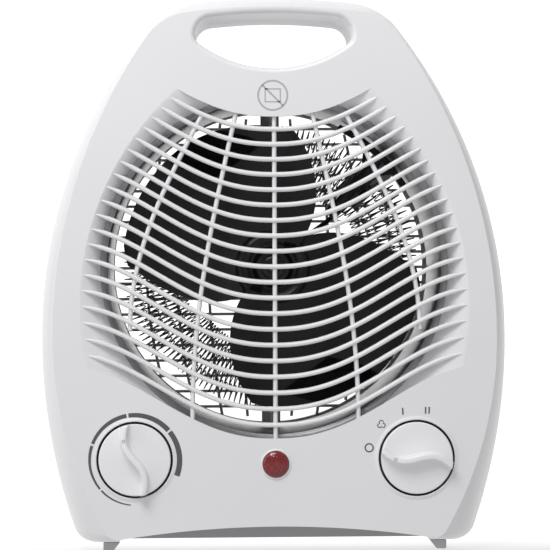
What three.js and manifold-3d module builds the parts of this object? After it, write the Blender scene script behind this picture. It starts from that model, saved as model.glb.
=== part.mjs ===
// Fan convector heater: an arched casing in two shells with a carrying handle, a louvred
// outlet in front, an intake grille behind, and a motor-driven fan and heating coils between.
// Millimetres. +X is to the right seen from the front, +Y points from front to back, +Z is up.
// The origin is under the middle of the heater, on the surface that it stands on.

import * as THREE from 'three';
import { mergeVertices } from 'three/addons/utils/BufferGeometryUtils.js';
import Module from 'manifold-3d';

const wasm = await Module();
wasm.setup();

// ---------------------------------------------------------------- driving dimensions
const gap = 0.3; // between pieces that touch
const wall = 2.4; // moulded casing wall

// Casing
const width = 214;
const height = 254;
const depth = 120; // knob crests to rear face
const baseWidth = 181; // where the side curves meet the underside
const crownWidth = 89; // where the side curves would meet the top
const widestBelowAxis = 32;
const axisBelowTop = 124; // fan axis under the top of the handle
const topRadius = 290;
const shoulderRadius = 30;
const cornerRadius = 9;
const frontDepth = 31; // face to parting line
const rim = { side: 6.8, top: 6.5, bottom: 2.9, baseWidth: 150, crownWidth: 83, shoulder: 24, corner: 6 };
const rear = { side: 14, top: 4.5, bottom: 3, base: 17, shoulder: 24, corner: 12 };
const underArch = { halfSpan: 71, rise: 5.6, sill: 9.5 };

// Handle
const handleDepth = 50;
const handleBar = 9.4; // height of the bar over the opening
const handleOpening = { width: 71.2, height: 24.8, smile: 12.6, crownSag: 2.6, corner: 8, lowCorner: 5 };
const handleRearRound = 5;

// Feet
const foot = { height: 4.4, frontX: 75, rearX: 73.5, topWidth: 7.6, bottomWidth: 4.4, length: 11, frontInset: 19, rearInset: 30 };

// Louvred front grille
const louvre = { count: 20, thick: 2.1, deep: 4, set: 1, firstAboveAxis: 62.2, pitch: 6.8, pitchStep: 0.026 };
const wave = { rise: 32.4, halfSpan: 91.5, power: 1.15 };
const upright = { wide: 2.1, deep: 4, lap: 1.5 };
const uprightPairs = [
  { top: 17, bottom: 37.5, stopLouvre: 20 },
  { top: 32.4, bottom: 65.5, stopLouvre: 16.5 },
];
const recess = { halfWidth: 88, widestBelowAxis: 18, shoulderHalf: 42.1, shoulderAbove: 82 };
const recessEdge = { upperAboveAxis: 67.8, lowerBelowAxis: 77.5 };
const outlet = { radius: 79, dishWidth: 14, dishDepth: 5.5, lip: 0.8, skin: 2.2 };

// Intake grille
const intake = { radius: 80, ring: 3.2, thick: 3, bar: 1.3, pitch: 7.7, spine: 7, spokes: [42] };

// Fan, motor and heating element
const duct = { inner: 76, skin: 0.9, front: 11, length: 68 };
const fan = { tipClearance: 5.5, root: 16, hub: 17, hubHalf: 4, pitch: 13, rootPitch: 6, skin: 1.2, behindFace: 36 };
const nut = { radius: 5.5, length: 5 };
const shaft = { radius: 1.6, running: 0.08 };
const motor = { radius: 14, length: 32, behindFan: 12, skin: 1.4, magnet: 2.6, airGap: 0.5, bearing: 4 };
const strap = { wide: 9, thick: 1.5, fromIntake: 0.5, fromRoof: 1.4, disc: 12 };
const element = { behindFace: 60, depth: 24, inner: 34, plate: 0.8, rows: 5.6 };
const coil = { outer: 7.6, deep: 3, first: 42, fromDuct: 9, pitch: 10 };

// Controls
const knob = { radius: 16.2, x: 63.6, z: 43.4, proud: 7, disc: 2.2, wide: 6.4, sway: 4.4 };
const knobWell = { clearance: 1, deep: 3, collar: 1.2, collarProud: 0.6 };
const spindle = { radius: 3, into: 2.6 };
const thermostat = { wide: 26, high: 24, deep: 15 };
const selector = { radius: 14, deep: 20 };
const lamp = { radius: 6, z: 41, dome: 2.4, rimWide: 0.8, holder: 5, holderDeep: 18 };

// Fasteners, inlet and wiring
const screw = { radius: 1.5, head: 3.2, headHigh: 2, length: 16 };
const boss = { radius: 4.6, bite: 12, seat: 5 };
const bossPlaces = [
  { name: 'lower', x: 80, fromBottom: 22 },
  { name: 'upper', x: 50.5, belowTop: 25 },
];
const gland = { x: 46, z: 24, flange: 7.4, flangeThick: 1.6, neck: 5.4, bore: 3.4, inside: 9 };
const cutout = { radius: 6.5, thick: 5, fromDuct: 19, angle: 42 };
const clamp = { wide: 12, high: 12, deep: 8 };
const wire = { radius: 1.3 };

// ---------------------------------------------------------------- derived places
const faceY = -depth / 2 + knob.proud;
const rearY = depth / 2;
const partingY = faceY + frontDepth;
const handleRearY = faceY + handleDepth;
const axisZ = height - axisBelowTop;
const widestZ = axisZ - widestBelowAxis;
const bottomZ = foot.height;
const openingTopZ = height - handleBar;
const openingBottomZ = openingTopZ - handleOpening.height;
const bodyTopZ = openingBottomZ - 1;
const strapReach = intake.radius + strap.fromIntake;
const strapEnd = bodyTopZ - wall - strap.fromRoof - axisZ;
const fanY = faceY + fan.behindFace;
const motorFrontY = fanY + motor.behindFan;
const motorRearY = motorFrontY + motor.length;
const elementY = faceY + element.behindFace;
const fanTip = duct.inner - fan.tipClearance;
const coilLast = duct.inner - coil.fromDuct;
const coilTurns = (coilLast - coil.first) / coil.pitch;
const wellRadius = knob.radius + knobWell.clearance;
const bossRows = bossPlaces.map((place) => ({
  ...place,
  z: place.fromBottom === undefined ? height - place.belowTop : place.fromBottom,
}));
const sides = [['left', -1], ['right', 1]];

// ---------------------------------------------------------------- solids
function signedVolume(position, index) {
  let sum = 0;
  const [a, b, c] = [new THREE.Vector3(), new THREE.Vector3(), new THREE.Vector3()];
  for (let i = 0; i < index.length; i += 3) {
    a.fromBufferAttribute(position, index[i]);
    b.fromBufferAttribute(position, index[i + 1]);
    c.fromBufferAttribute(position, index[i + 2]);
    sum += a.dot(b.cross(c));
  }
  return sum;
}

function solid(geometry) {
  geometry.deleteAttribute('normal');
  geometry.deleteAttribute('uv');
  const merged = mergeVertices(geometry, 1e-4);
  const index = Array.from(merged.index.array);
  if (signedVolume(merged.attributes.position, index) < 0) index.reverse();
  const mesh = new wasm.Mesh({
    numProp: 3,
    vertProperties: Float32Array.from(merged.attributes.position.array),
    triVerts: Uint32Array.from(index),
  });
  return new wasm.Manifold(mesh);
}

function join(pieces) {
  return pieces.reduce((whole, piece) => whole.add(piece));
}

function box(x, y, z) {
  const shape = new THREE.BoxGeometry(x[1] - x[0], y[1] - y[0], z[1] - z[0]);
  return solid(shape.translate((x[0] + x[1]) / 2, (y[0] + y[1]) / 2, (z[0] + z[1]) / 2));
}

// A rod along Y between two depths.
function rod(radius, y, x, z, steps = 24) {
  const shape = new THREE.CylinderGeometry(radius, radius, y[1] - y[0], steps);
  return solid(shape.translate(x, (y[0] + y[1]) / 2, z));
}

// A profile of [radius, depth] points turned about an axis along Y.
function turned(profile, x, z, steps = 32) {
  const points = profile.map(([r, y]) => new THREE.Vector2(r, y));
  return solid(new THREE.LatheGeometry(points, steps).translate(x, 0, z));
}

function ringBetween(inner, outer, y, x, z, steps = 32) {
  const profile = [[inner, y[0]], [outer, y[0]], [outer, y[1]], [inner, y[1]], [inner, y[0]]];
  return turned(profile, x, z, steps);
}

// An outline of [x, z] points extruded between two depths.
function prism(outline, y) {
  const shape = new THREE.Shape(outline.map(([x, z]) => new THREE.Vector2(x, z)));
  const body = new THREE.ExtrudeGeometry(shape, { depth: y[1] - y[0], bevelEnabled: false, steps: 1 });
  return solid(body.rotateX(Math.PI / 2).translate(0, y[1], 0));
}

// A skin over outlines that have the same number of points, one at each depth, closed by flat ends.
function loft(sections) {
  const count = sections[0].outline.length;
  const position = [];
  const index = [];
  for (const { y, outline } of sections) for (const [x, z] of outline) position.push(x, y, z);
  for (let s = 0; s + 1 < sections.length; s++) {
    for (let i = 0; i < count; i++) {
      const a = s * count + i;
      const b = s * count + ((i + 1) % count);
      index.push(a, b, a + count, b, b + count, a + count);
    }
  }
  const ends = [[0, true], [sections.length - 1, false]];
  for (const [s, first] of ends) {
    const middle = position.length / 3;
    const { y, outline } = sections[s];
    const low = Math.min(...outline.map(([, z]) => z));
    const high = Math.max(...outline.map(([, z]) => z));
    position.push(0, y, (low + high) / 2);
    for (let i = 0; i < count; i++) {
      const a = s * count + i;
      const b = s * count + ((i + 1) % count);
      index.push(...(first ? [middle, b, a] : [middle, a, b]));
    }
  }
  const shape = new THREE.BufferGeometry();
  shape.setAttribute('position', new THREE.Float32BufferAttribute(position, 3));
  shape.setIndex(index);
  return solid(shape);
}

// A round tube along points, with a section of few sides.
function tube(points, radius, steps, facets = 6) {
  const path = new THREE.CatmullRomCurve3(points.map(([x, y, z]) => new THREE.Vector3(x, y, z)));
  const section = new THREE.Shape();
  for (let i = 0; i < facets; i++) {
    const angle = (2 * Math.PI * i) / facets;
    const [u, v] = [radius * Math.cos(angle), radius * Math.sin(angle)];
    if (i === 0) section.moveTo(u, v);
    else section.lineTo(u, v);
  }
  return solid(new THREE.ExtrudeGeometry(section, { extrudePath: path, steps, bevelEnabled: false }));
}

// ---------------------------------------------------------------- outlines
const arcRadius = (span, sag) => (span * span + sag * sag) / (2 * sag);

function arc(centre, radius, from, to, steps) {
  const start = Math.atan2(from[1] - centre[1], from[0] - centre[0]);
  const end = Math.atan2(to[1] - centre[1], to[0] - centre[0]);
  return Array.from({ length: steps }, (_, i) => {
    const angle = start + ((end - start) * (i + 1)) / steps;
    return [centre[0] + radius * Math.cos(angle), centre[1] + radius * Math.sin(angle)];
  });
}

function along(from, towards, distance) {
  const [dx, dz] = [towards[0] - from[0], towards[1] - from[1]];
  const scale = distance / Math.hypot(dx, dz);
  return [from[0] + dx * scale, from[1] + dz * scale];
}

// The centre of the circle that touches two others from inside, on their upper right.
function nestedCentre(a, reachA, b, reachB) {
  const distance = Math.hypot(b[0] - a[0], b[1] - a[1]);
  const t = (reachA ** 2 - reachB ** 2 + distance ** 2) / (2 * distance);
  const h = Math.sqrt(reachA ** 2 - t ** 2);
  const [ux, uz] = [(b[0] - a[0]) / distance, (b[1] - a[1]) / distance];
  const options = [[a[0] + t * ux - h * uz, a[1] + t * uz + h * ux], [a[0] + t * ux + h * uz, a[1] + t * uz - h * ux]];
  return options[0][1] > options[1][1] ? options[0] : options[1];
}

const mirrored = (half) => [...half, ...half.slice().reverse().map(([x, z]) => [-x, z])];

// The arched casing section: a flat base, curved sides, rounded shoulders and a shallow crown.
function casingShape({ halfWidth, baseHalf, crownHalf, topZ, lowZ, shoulder, corner }) {
  return {
    halfWidth,
    topZ,
    lowZ,
    shoulder,
    corner,
    crown: topRadius,
    lowerR: arcRadius(widestZ - lowZ, halfWidth - baseHalf),
    upperR: arcRadius(height - bottomZ - (widestZ - bottomZ), halfWidth - crownHalf),
  };
}

function shrunk(shape, by) {
  return {
    halfWidth: shape.halfWidth - by,
    topZ: shape.topZ - by,
    lowZ: shape.lowZ + by,
    shoulder: shape.shoulder - by,
    corner: shape.corner - by,
    crown: shape.crown - by,
    lowerR: shape.lowerR - by,
    upperR: shape.upperR - by,
  };
}

function casingOutline(shape) {
  const { halfWidth, topZ, lowZ, shoulder, corner, crown, lowerR, upperR } = shape;
  const lower = [halfWidth - lowerR, widestZ];
  const upper = [halfWidth - upperR, widestZ];
  const top = [0, topZ - crown];
  const bend = nestedCentre(upper, upperR - shoulder, top, crown - shoulder);
  const reach = Math.sqrt((lowerR - corner) ** 2 - (lowZ + corner - widestZ) ** 2);
  const toe = [lower[0] + reach, lowZ + corner];
  const toeEnd = along(lower, toe, lowerR);
  const bendStart = along(upper, bend, upperR);
  const bendEnd = along(top, bend, crown);
  const half = [
    [toe[0], lowZ],
    ...arc(toe, corner, [toe[0], lowZ], toeEnd, 2),
    ...arc(lower, lowerR, toeEnd, [halfWidth, widestZ], 3),
    ...arc(upper, upperR, [halfWidth, widestZ], bendStart, 5),
    ...arc(bend, shoulder, bendStart, bendEnd, 5),
    ...arc(top, crown, bendEnd, [0, topZ], 2),
  ];
  return [...half, ...half.slice(0, -1).reverse().map(([x, z]) => [-x, z])];
}

function mix(a, b, t) {
  return a.map(([x, z], i) => [x + (b[i][0] - x) * t, z + (b[i][1] - z) * t]);
}

// Sections that round over from one outline to another like a quarter of an ellipse.
function roundOver(from, to, yFrom, yTo, steps, degrees) {
  const limit = THREE.MathUtils.degToRad(degrees);
  return Array.from({ length: steps + 1 }, (_, i) => {
    const angle = (limit * i) / steps;
    const inward = (1 - Math.cos(angle)) / (1 - Math.cos(limit));
    const onward = Math.sin(angle) / Math.sin(limit);
    return { y: yFrom + (yTo - yFrom) * onward, outline: mix(from, to, inward) };
  });
}

const fullShape = casingShape({
  halfWidth: width / 2,
  baseHalf: baseWidth / 2,
  crownHalf: crownWidth / 2,
  topZ: height,
  lowZ: bottomZ,
  shoulder: shoulderRadius,
  corner: cornerRadius,
});

const faceShape = casingShape({
  halfWidth: width / 2 - rim.side,
  baseHalf: rim.baseWidth / 2,
  crownHalf: rim.crownWidth / 2,
  topZ: height - rim.top,
  lowZ: bottomZ + rim.bottom,
  shoulder: rim.shoulder,
  corner: rim.corner,
});

const bodyShape = { ...fullShape, topZ: bodyTopZ };

const backShape = {
  ...casingShape({
    halfWidth: width / 2 - rear.side,
    baseHalf: baseWidth / 2 - rear.base,
    crownHalf: crownWidth / 2,
    topZ: bodyTopZ - rear.top,
    lowZ: bottomZ + rear.bottom,
    shoulder: rear.shoulder,
    corner: rear.corner,
  }),
};

// The hand opening: a shallow crown over a deep curve, with rounded upper corners.
function handOutline(grow) {
  const { width: wide, smile, crownSag, corner, lowCorner } = handleOpening;
  const [topZ, lowZ] = [openingTopZ + grow, openingBottomZ - grow];
  const crown = arcRadius(wide / 2, crownSag) + grow;
  const smileR = arcRadius(wide / 2, smile) + grow;
  const [topCentre, lowCentre] = [[0, topZ - crown], [0, lowZ + smileR]];
  const [bend, lowBend] = [corner + grow, lowCorner + grow];
  const [bendX, lowBendX] = [wide / 2 - corner, wide / 2 - lowCorner];
  const bendAt = [bendX, topCentre[1] + Math.sqrt((crown - bend) ** 2 - bendX ** 2)];
  const lowBendAt = [lowBendX, lowCentre[1] - Math.sqrt((smileR - lowBend) ** 2 - lowBendX ** 2)];
  const [highTurn, lowTurn] = [along(topCentre, bendAt, crown), along(lowCentre, lowBendAt, smileR)];
  const right = [
    ...arc(lowCentre, smileR, [0, lowZ], lowTurn, 6),
    ...arc(lowBendAt, lowBend, lowTurn, [lowBendX + lowBend, lowBendAt[1]], 3),
    ...arc(bendAt, bend, [bendX + bend, bendAt[1]], highTurn, 4),
    ...arc(topCentre, crown, highTurn, [0, topZ], 4),
  ];
  return [[0, lowZ], ...right, ...right.slice(0, -1).reverse().map(([x, z]) => [-x, z])];
}

// How far a louvre has risen at a distance from the middle.
function waveRise(x) {
  const share = Math.min(Math.abs(x) / wave.halfSpan, 1);
  return (wave.rise / 2) * (1 - Math.cos(Math.PI * share ** wave.power));
}

const recessSag = recess.halfWidth - recess.shoulderHalf;
const recessRadius = arcRadius(recess.shoulderAbove + recess.widestBelowAxis, recessSag);
const recessCentre = [recess.halfWidth - recessRadius, axisZ - recess.widestBelowAxis];

// The recess edge at a height, measured from the middle.
function recessHalfWidth(z, grow) {
  return recessCentre[0] + Math.sqrt((recessRadius + grow) ** 2 - (z - recessCentre[1]) ** 2);
}

// Where a rising curve from the middle meets the recess edge.
function waveEnd(middleZ, grow) {
  let [inside, outside] = [0, recess.halfWidth + grow];
  for (let i = 0; i < 40; i++) {
    const x = (inside + outside) / 2;
    if (x < recessHalfWidth(middleZ + waveRise(x), grow)) inside = x;
    else outside = x;
  }
  return inside;
}

// The outlet recess: two waved edges joined by the curved sides.
function recessOutline(grow) {
  const upperZ = axisZ + recessEdge.upperAboveAxis + grow;
  const lowerZ = axisZ - recessEdge.lowerBelowAxis - grow;
  const [upperX, lowerX] = [waveEnd(upperZ, grow), waveEnd(lowerZ, grow)];
  const steps = 8;
  const lower = Array.from({ length: steps + 1 }, (_, i) => {
    const x = (lowerX * i) / steps;
    return [x, lowerZ + waveRise(x)];
  });
  const upper = Array.from({ length: steps + 1 }, (_, i) => {
    const x = (upperX * (steps - i)) / steps;
    return [x, upperZ + waveRise(x)];
  });
  const side = arc(recessCentre, recessRadius + grow, lower[steps], upper[0], 8).slice(0, -1);
  const right = [...lower, ...side, ...upper];
  return [...right, ...right.slice(1, -1).reverse().map(([x, z]) => [-x, z])];
}

// ---------------------------------------------------------------- casing
const pieces = [];
const paint = {
  white: { color: 0xe9e9ea, roughness: 0.42, metalness: 0 },
  black: { color: 0x161616, roughness: 0.5, metalness: 0.1 },
  steel: { color: 0x9a9c9e, roughness: 0.4, metalness: 0.85 },
  brass: { color: 0xb08d4a, roughness: 0.35, metalness: 0.9 },
  mica: { color: 0xcfc6ae, roughness: 0.7, metalness: 0 },
  wire: { color: 0x1c1c1c, roughness: 0.6, metalness: 0 },
  heat: { color: 0x5d5852, roughness: 0.45, metalness: 0.8 },
  copper: { color: 0x9c5a33, roughness: 0.4, metalness: 0.8 },
  rubber: { color: 0x8d8f92, roughness: 0.8, metalness: 0 },
  red: { color: 0xb0161a, roughness: 0.2, metalness: 0 },
};

function keep(name, manifold, colour) {
  const { vertProperties, triVerts } = manifold.getMesh();
  const geometry = new THREE.BufferGeometry();
  geometry.setAttribute('position', new THREE.BufferAttribute(vertProperties, 3));
  geometry.setIndex(new THREE.BufferAttribute(triVerts, 1));
  geometry.computeVertexNormals();
  const mesh = new THREE.Mesh(geometry, new THREE.MeshStandardMaterial(paint[colour]));
  mesh.name = name;
  pieces.push(mesh);
}

const shellSpan = [faceY - 1, rearY + 1];
const tunnel = prism(handOutline(wall), shellSpan);
const handHole = prism(handOutline(0), shellSpan);

// The underside is arched up under the front shell.
function archUnder(lift) {
  const radius = arcRadius(underArch.halfSpan, underArch.rise);
  const faceLow = faceShape.lowZ;
  const apex = faceLow + underArch.rise + lift;
  const ends = [underArch.halfSpan + lift, -underArch.halfSpan - lift];
  const endZ = apex - radius + Math.sqrt(radius ** 2 - ends[0] ** 2);
  const curve = arc([0, apex - radius], radius, [ends[0], endZ], [ends[1], endZ], 10);
  return prism([[ends[1], -1], [ends[0], -1], [ends[0], endZ], ...curve], [faceY - 1, partingY + 1]);
}

function knobWellCut(x) {
  return rod(wellRadius, [faceY - 2, faceY + knobWell.deep], x, knob.z, 32);
}

function frontCover() {
  const [full, face] = [casingOutline(fullShape), casingOutline(faceShape)];
  const [fullIn, faceIn] = [casingOutline(shrunk(fullShape, wall)), casingOutline(shrunk(faceShape, wall))];
  const outer = loft(roundOver(full, face, partingY, faceY, 4, 72)).subtract(archUnder(0));
  const cavity = loft([
    { y: partingY + 1, outline: fullIn },
    ...roundOver(fullIn, faceIn, partingY, faceY + wall, 3, 72),
  ]).subtract(archUnder(wall));
  const wells = sides.map(([, side]) => {
    const ring = wellRadius + knobWell.collar;
    return rod(ring, [faceY - knobWell.collarProud, faceY + knobWell.deep + wall], side * knob.x, knob.z, 32);
  });
  const lampSeat = rod(lamp.radius + wall, [faceY, faceY + wall + 2], 0, lamp.z, 20);
  const posts = bossRows.flatMap(({ x, z }) => [-x, x].map((px) => (
    rod(boss.radius, [faceY + wall, partingY], px, z, 10).intersect(outer)
  )));
  const pilots = bossRows.flatMap(({ x, z }) => [-x, x].map((px) => (
    rod(screw.radius + gap, [partingY - boss.bite, partingY + 1], px, z, 8)
  )));
  const spindleHoles = sides.map(([, side]) => (
    rod(spindle.radius + 2 * gap, shellSpan, side * knob.x, knob.z, 16)
      .intersect(box([-width, width], [faceY - 1, partingY], [0, height]))
  ));
  const walled = outer
    .subtract(cavity.subtract(tunnel))
    .add(join([...wells, lampSeat, ...posts]));
  return walled
    .subtract(handHole)
    .subtract(prism(recessOutline(gap), [faceY - 1, faceY + wall + 4]))
    .subtract(join([
      ...sides.map(([, side]) => knobWellCut(side * knob.x)),
      ...spindleHoles,
      ...pilots,
      rod(lamp.radius + gap, [faceY - 1, partingY], 0, lamp.z, 20),
    ]));
}

function louvreMiddle(index) {
  const steps = louvre.pitch * index + (louvre.pitchStep * index * (index - 1)) / 2;
  return axisZ + louvre.firstAboveAxis - steps;
}

// One louvre: a bar that rises in a wave from the middle to the recess edge on both sides.
function louvreBar(index) {
  const middle = louvreMiddle(index);
  const end = waveEnd(middle, -outlet.lip * 2);
  const steps = 8;
  const half = louvre.thick / 2;
  const xs = Array.from({ length: steps + 1 }, (_, i) => -end + (2 * end * i) / steps);
  const outline = [
    ...xs.map((x) => [x, middle + waveRise(x) - half]),
    ...xs.slice().reverse().map((x) => [x, middle + waveRise(x) + half]),
  ];
  return prism(outline, [faceY + louvre.set, faceY + louvre.set + louvre.deep]);
}

// An upright behind the louvres, leaning from one place at the top to another lower down.
function uprightBar(topX, bottomX, stopLouvre) {
  const topZ = axisZ + recessEdge.upperAboveAxis + waveRise(topX) - gap;
  const stopZ = stopLouvre >= louvre.count
    ? axisZ - recessEdge.lowerBelowAxis + waveRise(bottomX) + gap
    : louvreMiddle(stopLouvre) + waveRise(bottomX);
  const steps = 3;
  const lean = Array.from({ length: steps + 1 }, (_, i) => {
    const t = i / steps;
    return [topX + (bottomX - topX) * Math.sin((t * Math.PI) / 2), topZ + (stopZ - topZ) * t];
  });
  const half = upright.wide / 2;
  const outline = [...lean.map(([x, z]) => [x - half, z]), ...lean.slice().reverse().map(([x, z]) => [x + half, z])];
  const front = faceY + louvre.set + louvre.deep - upright.lap;
  return prism(outline, [front, front + upright.deep]);
}

// The dish slopes from the recess edge in to the round outlet.
function dish() {
  const [edge, mouth] = [outlet.radius + outlet.dishWidth, outlet.radius];
  const [front, back] = [faceY + outlet.lip, faceY + outlet.lip + outlet.dishDepth];
  const slope = turned([
    [mouth, back - outlet.skin],
    [edge, front - outlet.skin / 2],
    [edge, front + outlet.skin],
    [mouth + outlet.skin, back],
    [mouth, back],
    [mouth, back - outlet.skin],
  ], 0, axisZ, 48);
  return slope.intersect(prism(recessOutline(0), [faceY, back + 1]));
}

function frontGrille() {
  const bars = Array.from({ length: louvre.count }, (_, i) => louvreBar(i));
  const uprights = [
    uprightBar(0, 0, louvre.count),
    ...uprightPairs.flatMap(({ top, bottom, stopLouvre }) => [
      uprightBar(top, bottom, stopLouvre),
      uprightBar(-top, -bottom, stopLouvre),
    ]),
  ];
  const frontOnly = box([-width, width], [faceY, rearY], [0, height]);
  return join([dish(), ...bars, ...uprights]).intersect(frontOnly);
}

function rearSections(outerBy, rearInset) {
  const full = shrunk(fullShape, outerBy);
  const handleEdge = shrunk({ ...fullShape, topZ: height - handleRearRound }, outerBy);
  const body = shrunk(bodyShape, outerBy);
  const back = shrunk(backShape, outerBy);
  const turn = handleRearY - rearInset;
  return [
    ...roundOver(casingOutline(full), casingOutline(handleEdge), turn - handleRearRound * 1.6, turn, 2, 80),
    ...roundOver(casingOutline(body), casingOutline(back), turn + 0.4, rearY - rearInset, 4, 78),
  ];
}

function rearCover() {
  const start = partingY + gap;
  const full = casingOutline(fullShape);
  const outer = loft([{ y: start, outline: full }, ...rearSections(0, 0)]);
  const cavity = loft([
    { y: start - 1, outline: casingOutline(shrunk(fullShape, wall)) },
    ...rearSections(wall, wall),
  ]);
  const wells = bossRows.flatMap(({ x, z }) => [-x, x].map((px) => (
    rod(boss.radius + 0.6, [start, rearY], px, z, 12).intersect(outer)
  )));
  const glandSeat = rod(gland.flange + wall, [rearY - 2 * wall - gland.flangeThick, rearY], gland.x, gland.z, 16);
  const intakeRim = ringBetween(intake.radius - 1, intake.radius + wall, [rearY - intake.thick - wall, rearY], 0, axisZ, 36);
  const strapPosts = sides.map(([, side]) => (
    rod(boss.radius, [motorRearY + strap.thick + gap, rearY - wall / 2], 0, axisZ + side * strapReach, 10)
      .intersect(outer)
  ));
  const strapPilots = sides.map(([, side]) => (
    rod(screw.radius + gap, [motorRearY, motorRearY + boss.bite], 0, axisZ + side * strapReach, 8)
  ));
  const screwHoles = bossRows.flatMap(({ x, z }) => [-x, x].flatMap((px) => [
    rod(screw.radius + gap, [start - 1, rearY], px, z, 8),
    rod(screw.head + gap, [start + boss.seat, rearY + 1], px, z, 12),
  ]));
  // A sill closes the rear cover where the arch under the front cover would show into it.
  const sillReach = underArch.halfSpan + wall;
  const sill = box([-sillReach, sillReach], [start, start + wall], [bottomZ + wall / 2, bottomZ + underArch.sill])
    .intersect(outer);
  const walled = outer
    .subtract(cavity.subtract(tunnel))
    .add(join([...wells, glandSeat, intakeRim, sill, ...strapPosts]));
  return walled
    .subtract(handHole)
    .subtract(rod(intake.radius, [rearY - intake.thick, rearY + 1], 0, axisZ, 36))
    .subtract(rod(intake.radius - 1, [rearY - 20, rearY + 1], 0, axisZ, 36))
    .subtract(join([
      ...screwHoles,
      ...strapPilots,
      rod(gland.flange + gap, [rearY - gland.flangeThick - gap, rearY + 1], gland.x, gland.z, 16),
      rod(gland.neck + gap, [rearY - 12, rearY + 1], gland.x, gland.z, 16),
    ]));
}

// The intake grille: level bars, a wide spine and curved spokes, all inside a ring.
function rearGrille() {
  const outer = intake.radius - gap;
  const inner = outer - intake.ring;
  const [front, back] = [rearY - intake.thick + gap, rearY];
  const ring = ringBetween(inner, outer, [front, back], 0, axisZ, 36);
  const rows = Math.floor(inner / intake.pitch);
  const bars = Array.from({ length: 2 * rows + 1 }, (_, i) => {
    const z = (i - rows) * intake.pitch;
    const half = Math.sqrt((outer - intake.ring / 2) ** 2 - z * z);
    return box([-half, half], [back - 1.6, back], [axisZ + z - intake.bar / 2, axisZ + z + intake.bar / 2]);
  });
  const reach = outer - intake.ring / 2;
  const spine = box([-intake.spine / 2, intake.spine / 2], [front + 0.4, back - 0.3], [axisZ - reach, axisZ + reach]);
  const spokes = intake.spokes.flatMap((bulge) => [-1, 1].map((side) => {
    const steps = 8;
    const line = Array.from({ length: steps + 1 }, (_, i) => {
      const angle = -Math.PI / 2 + (Math.PI * i) / steps;
      return [side * bulge * Math.cos(angle), axisZ + reach * Math.sin(angle)];
    });
    const half = intake.bar / 2;
    const outline = [...line.map(([x, z]) => [x - half, z]), ...line.slice().reverse().map(([x, z]) => [x + half, z])];
    return prism(outline, [front + 0.4, back - 0.3]);
  }));
  return join([ring, spine, ...bars, ...spokes]);
}

keep('front_cover', frontCover(), 'white');
keep('front_grille', frontGrille(), 'white');
keep('rear_cover', rearCover(), 'white');
keep('rear_grille', rearGrille(), 'white');

// ---------------------------------------------------------------- feet
function footBlock(side, x, y) {
  const outerX = x + foot.topWidth / 2;
  const top = bottomZ - gap;
  const outline = [[outerX, 0], [outerX, top], [outerX - foot.topWidth, top], [outerX - foot.bottomWidth, 0]];
  return prism(outline.map(([u, z]) => [side * u, z]), y);
}

for (const [name, side] of sides) {
  const frontY = faceY + foot.frontInset;
  const backY = rearY - foot.rearInset;
  keep(`foot_front_${name}`, footBlock(side, foot.frontX, [frontY, frontY + foot.length]), 'rubber');
  keep(`foot_rear_${name}`, footBlock(side, foot.rearX, [backY - foot.length, backY]), 'rubber');
}

// ---------------------------------------------------------------- duct, strap and element
const ductFront = faceY + duct.front;
const ductRear = ductFront + duct.length;
keep('duct_ring', ringBetween(duct.inner, duct.inner + duct.skin, [ductFront, ductRear], 0, axisZ, 40), 'steel');

// A flattened winding: the tube stands for the room the wound wire takes up.
function woundTube(points, y, grow) {
  const radius = coil.outer / 2 + grow;
  const flatten = (coil.deep / 2 + grow) / radius;
  const round = tube(points, radius, points.length - 1).translate([0, -y, 0]);
  return round.scale([1, flatten, 1]).translate([0, y, 0]);
}

function heatingCoil(y, startAngle) {
  const steps = Math.round(coilTurns * 18);
  const points = Array.from({ length: steps + 1 }, (_, i) => {
    const angle = startAngle + (2 * Math.PI * coilTurns * i) / steps;
    const r = coil.first + ((coilLast - coil.first) * i) / steps;
    return [r * Math.cos(angle), y, axisZ + r * Math.sin(angle)];
  });
  return { thin: woundTube(points, y, 0), fat: woundTube(points, y, gap) };
}

const coilStages = [
  { name: 'heating_coil_first_stage', ...heatingCoil(elementY - element.rows, Math.PI / 5) },
  { name: 'heating_coil_second_stage', ...heatingCoil(elementY + element.rows, (6 * Math.PI) / 5) },
];
for (const { name, thin } of coilStages) keep(name, thin, 'heat');

// Four mica plates stand radially in the duct and carry the coils in holes.
function micaPlate(turn) {
  const outer = duct.inner - gap;
  const half = element.depth / 2;
  const plate = box([element.inner, outer], [elementY - half, elementY + half], [-element.plate / 2, element.plate / 2]);
  const placed = plate.rotate([0, -turn, 0]).translate([0, 0, axisZ]);
  return coilStages.reduce((rest, { fat }) => rest.subtract(fat), placed);
}

['right', 'top', 'left', 'bottom'].forEach((name, i) => keep(`mica_plate_${name}`, micaPlate(i * 90), 'mica'));

// An upright strap behind the duct carries the motor by its rear bearing.
function motorStrap() {
  const span = [motorRearY, motorRearY + strap.thick];
  const holes = [motorRearY - 1, motorRearY + strap.thick + 1];
  const bar = box([-strap.wide / 2, strap.wide / 2], span, [axisZ - strapEnd, axisZ + strapEnd]);
  const cuts = [
    rod(motor.bearing + gap, holes, 0, axisZ, 16),
    ...sides.map(([, side]) => rod(screw.radius + gap, holes, 0, axisZ + side * strapReach, 8)),
  ];
  return bar.add(rod(strap.disc, span, 0, axisZ, 20)).subtract(join(cuts));
}
keep('motor_strap', motorStrap(), 'steel');

// ---------------------------------------------------------------- motor
const canFront = motorFrontY;
const canRear = motorRearY - gap;
const bore = shaft.radius + shaft.running;
const canProfile = [
  [motor.bearing + gap, canFront],
  [motor.radius, canFront],
  [motor.radius, canRear],
  [motor.radius - motor.skin, canRear],
  [motor.radius - motor.skin, canFront + motor.skin],
  [motor.bearing + gap, canFront + motor.skin],
  [motor.bearing + gap, canFront],
];
keep('motor_can', turned(canProfile, 0, axisZ, 20), 'steel');

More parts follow.
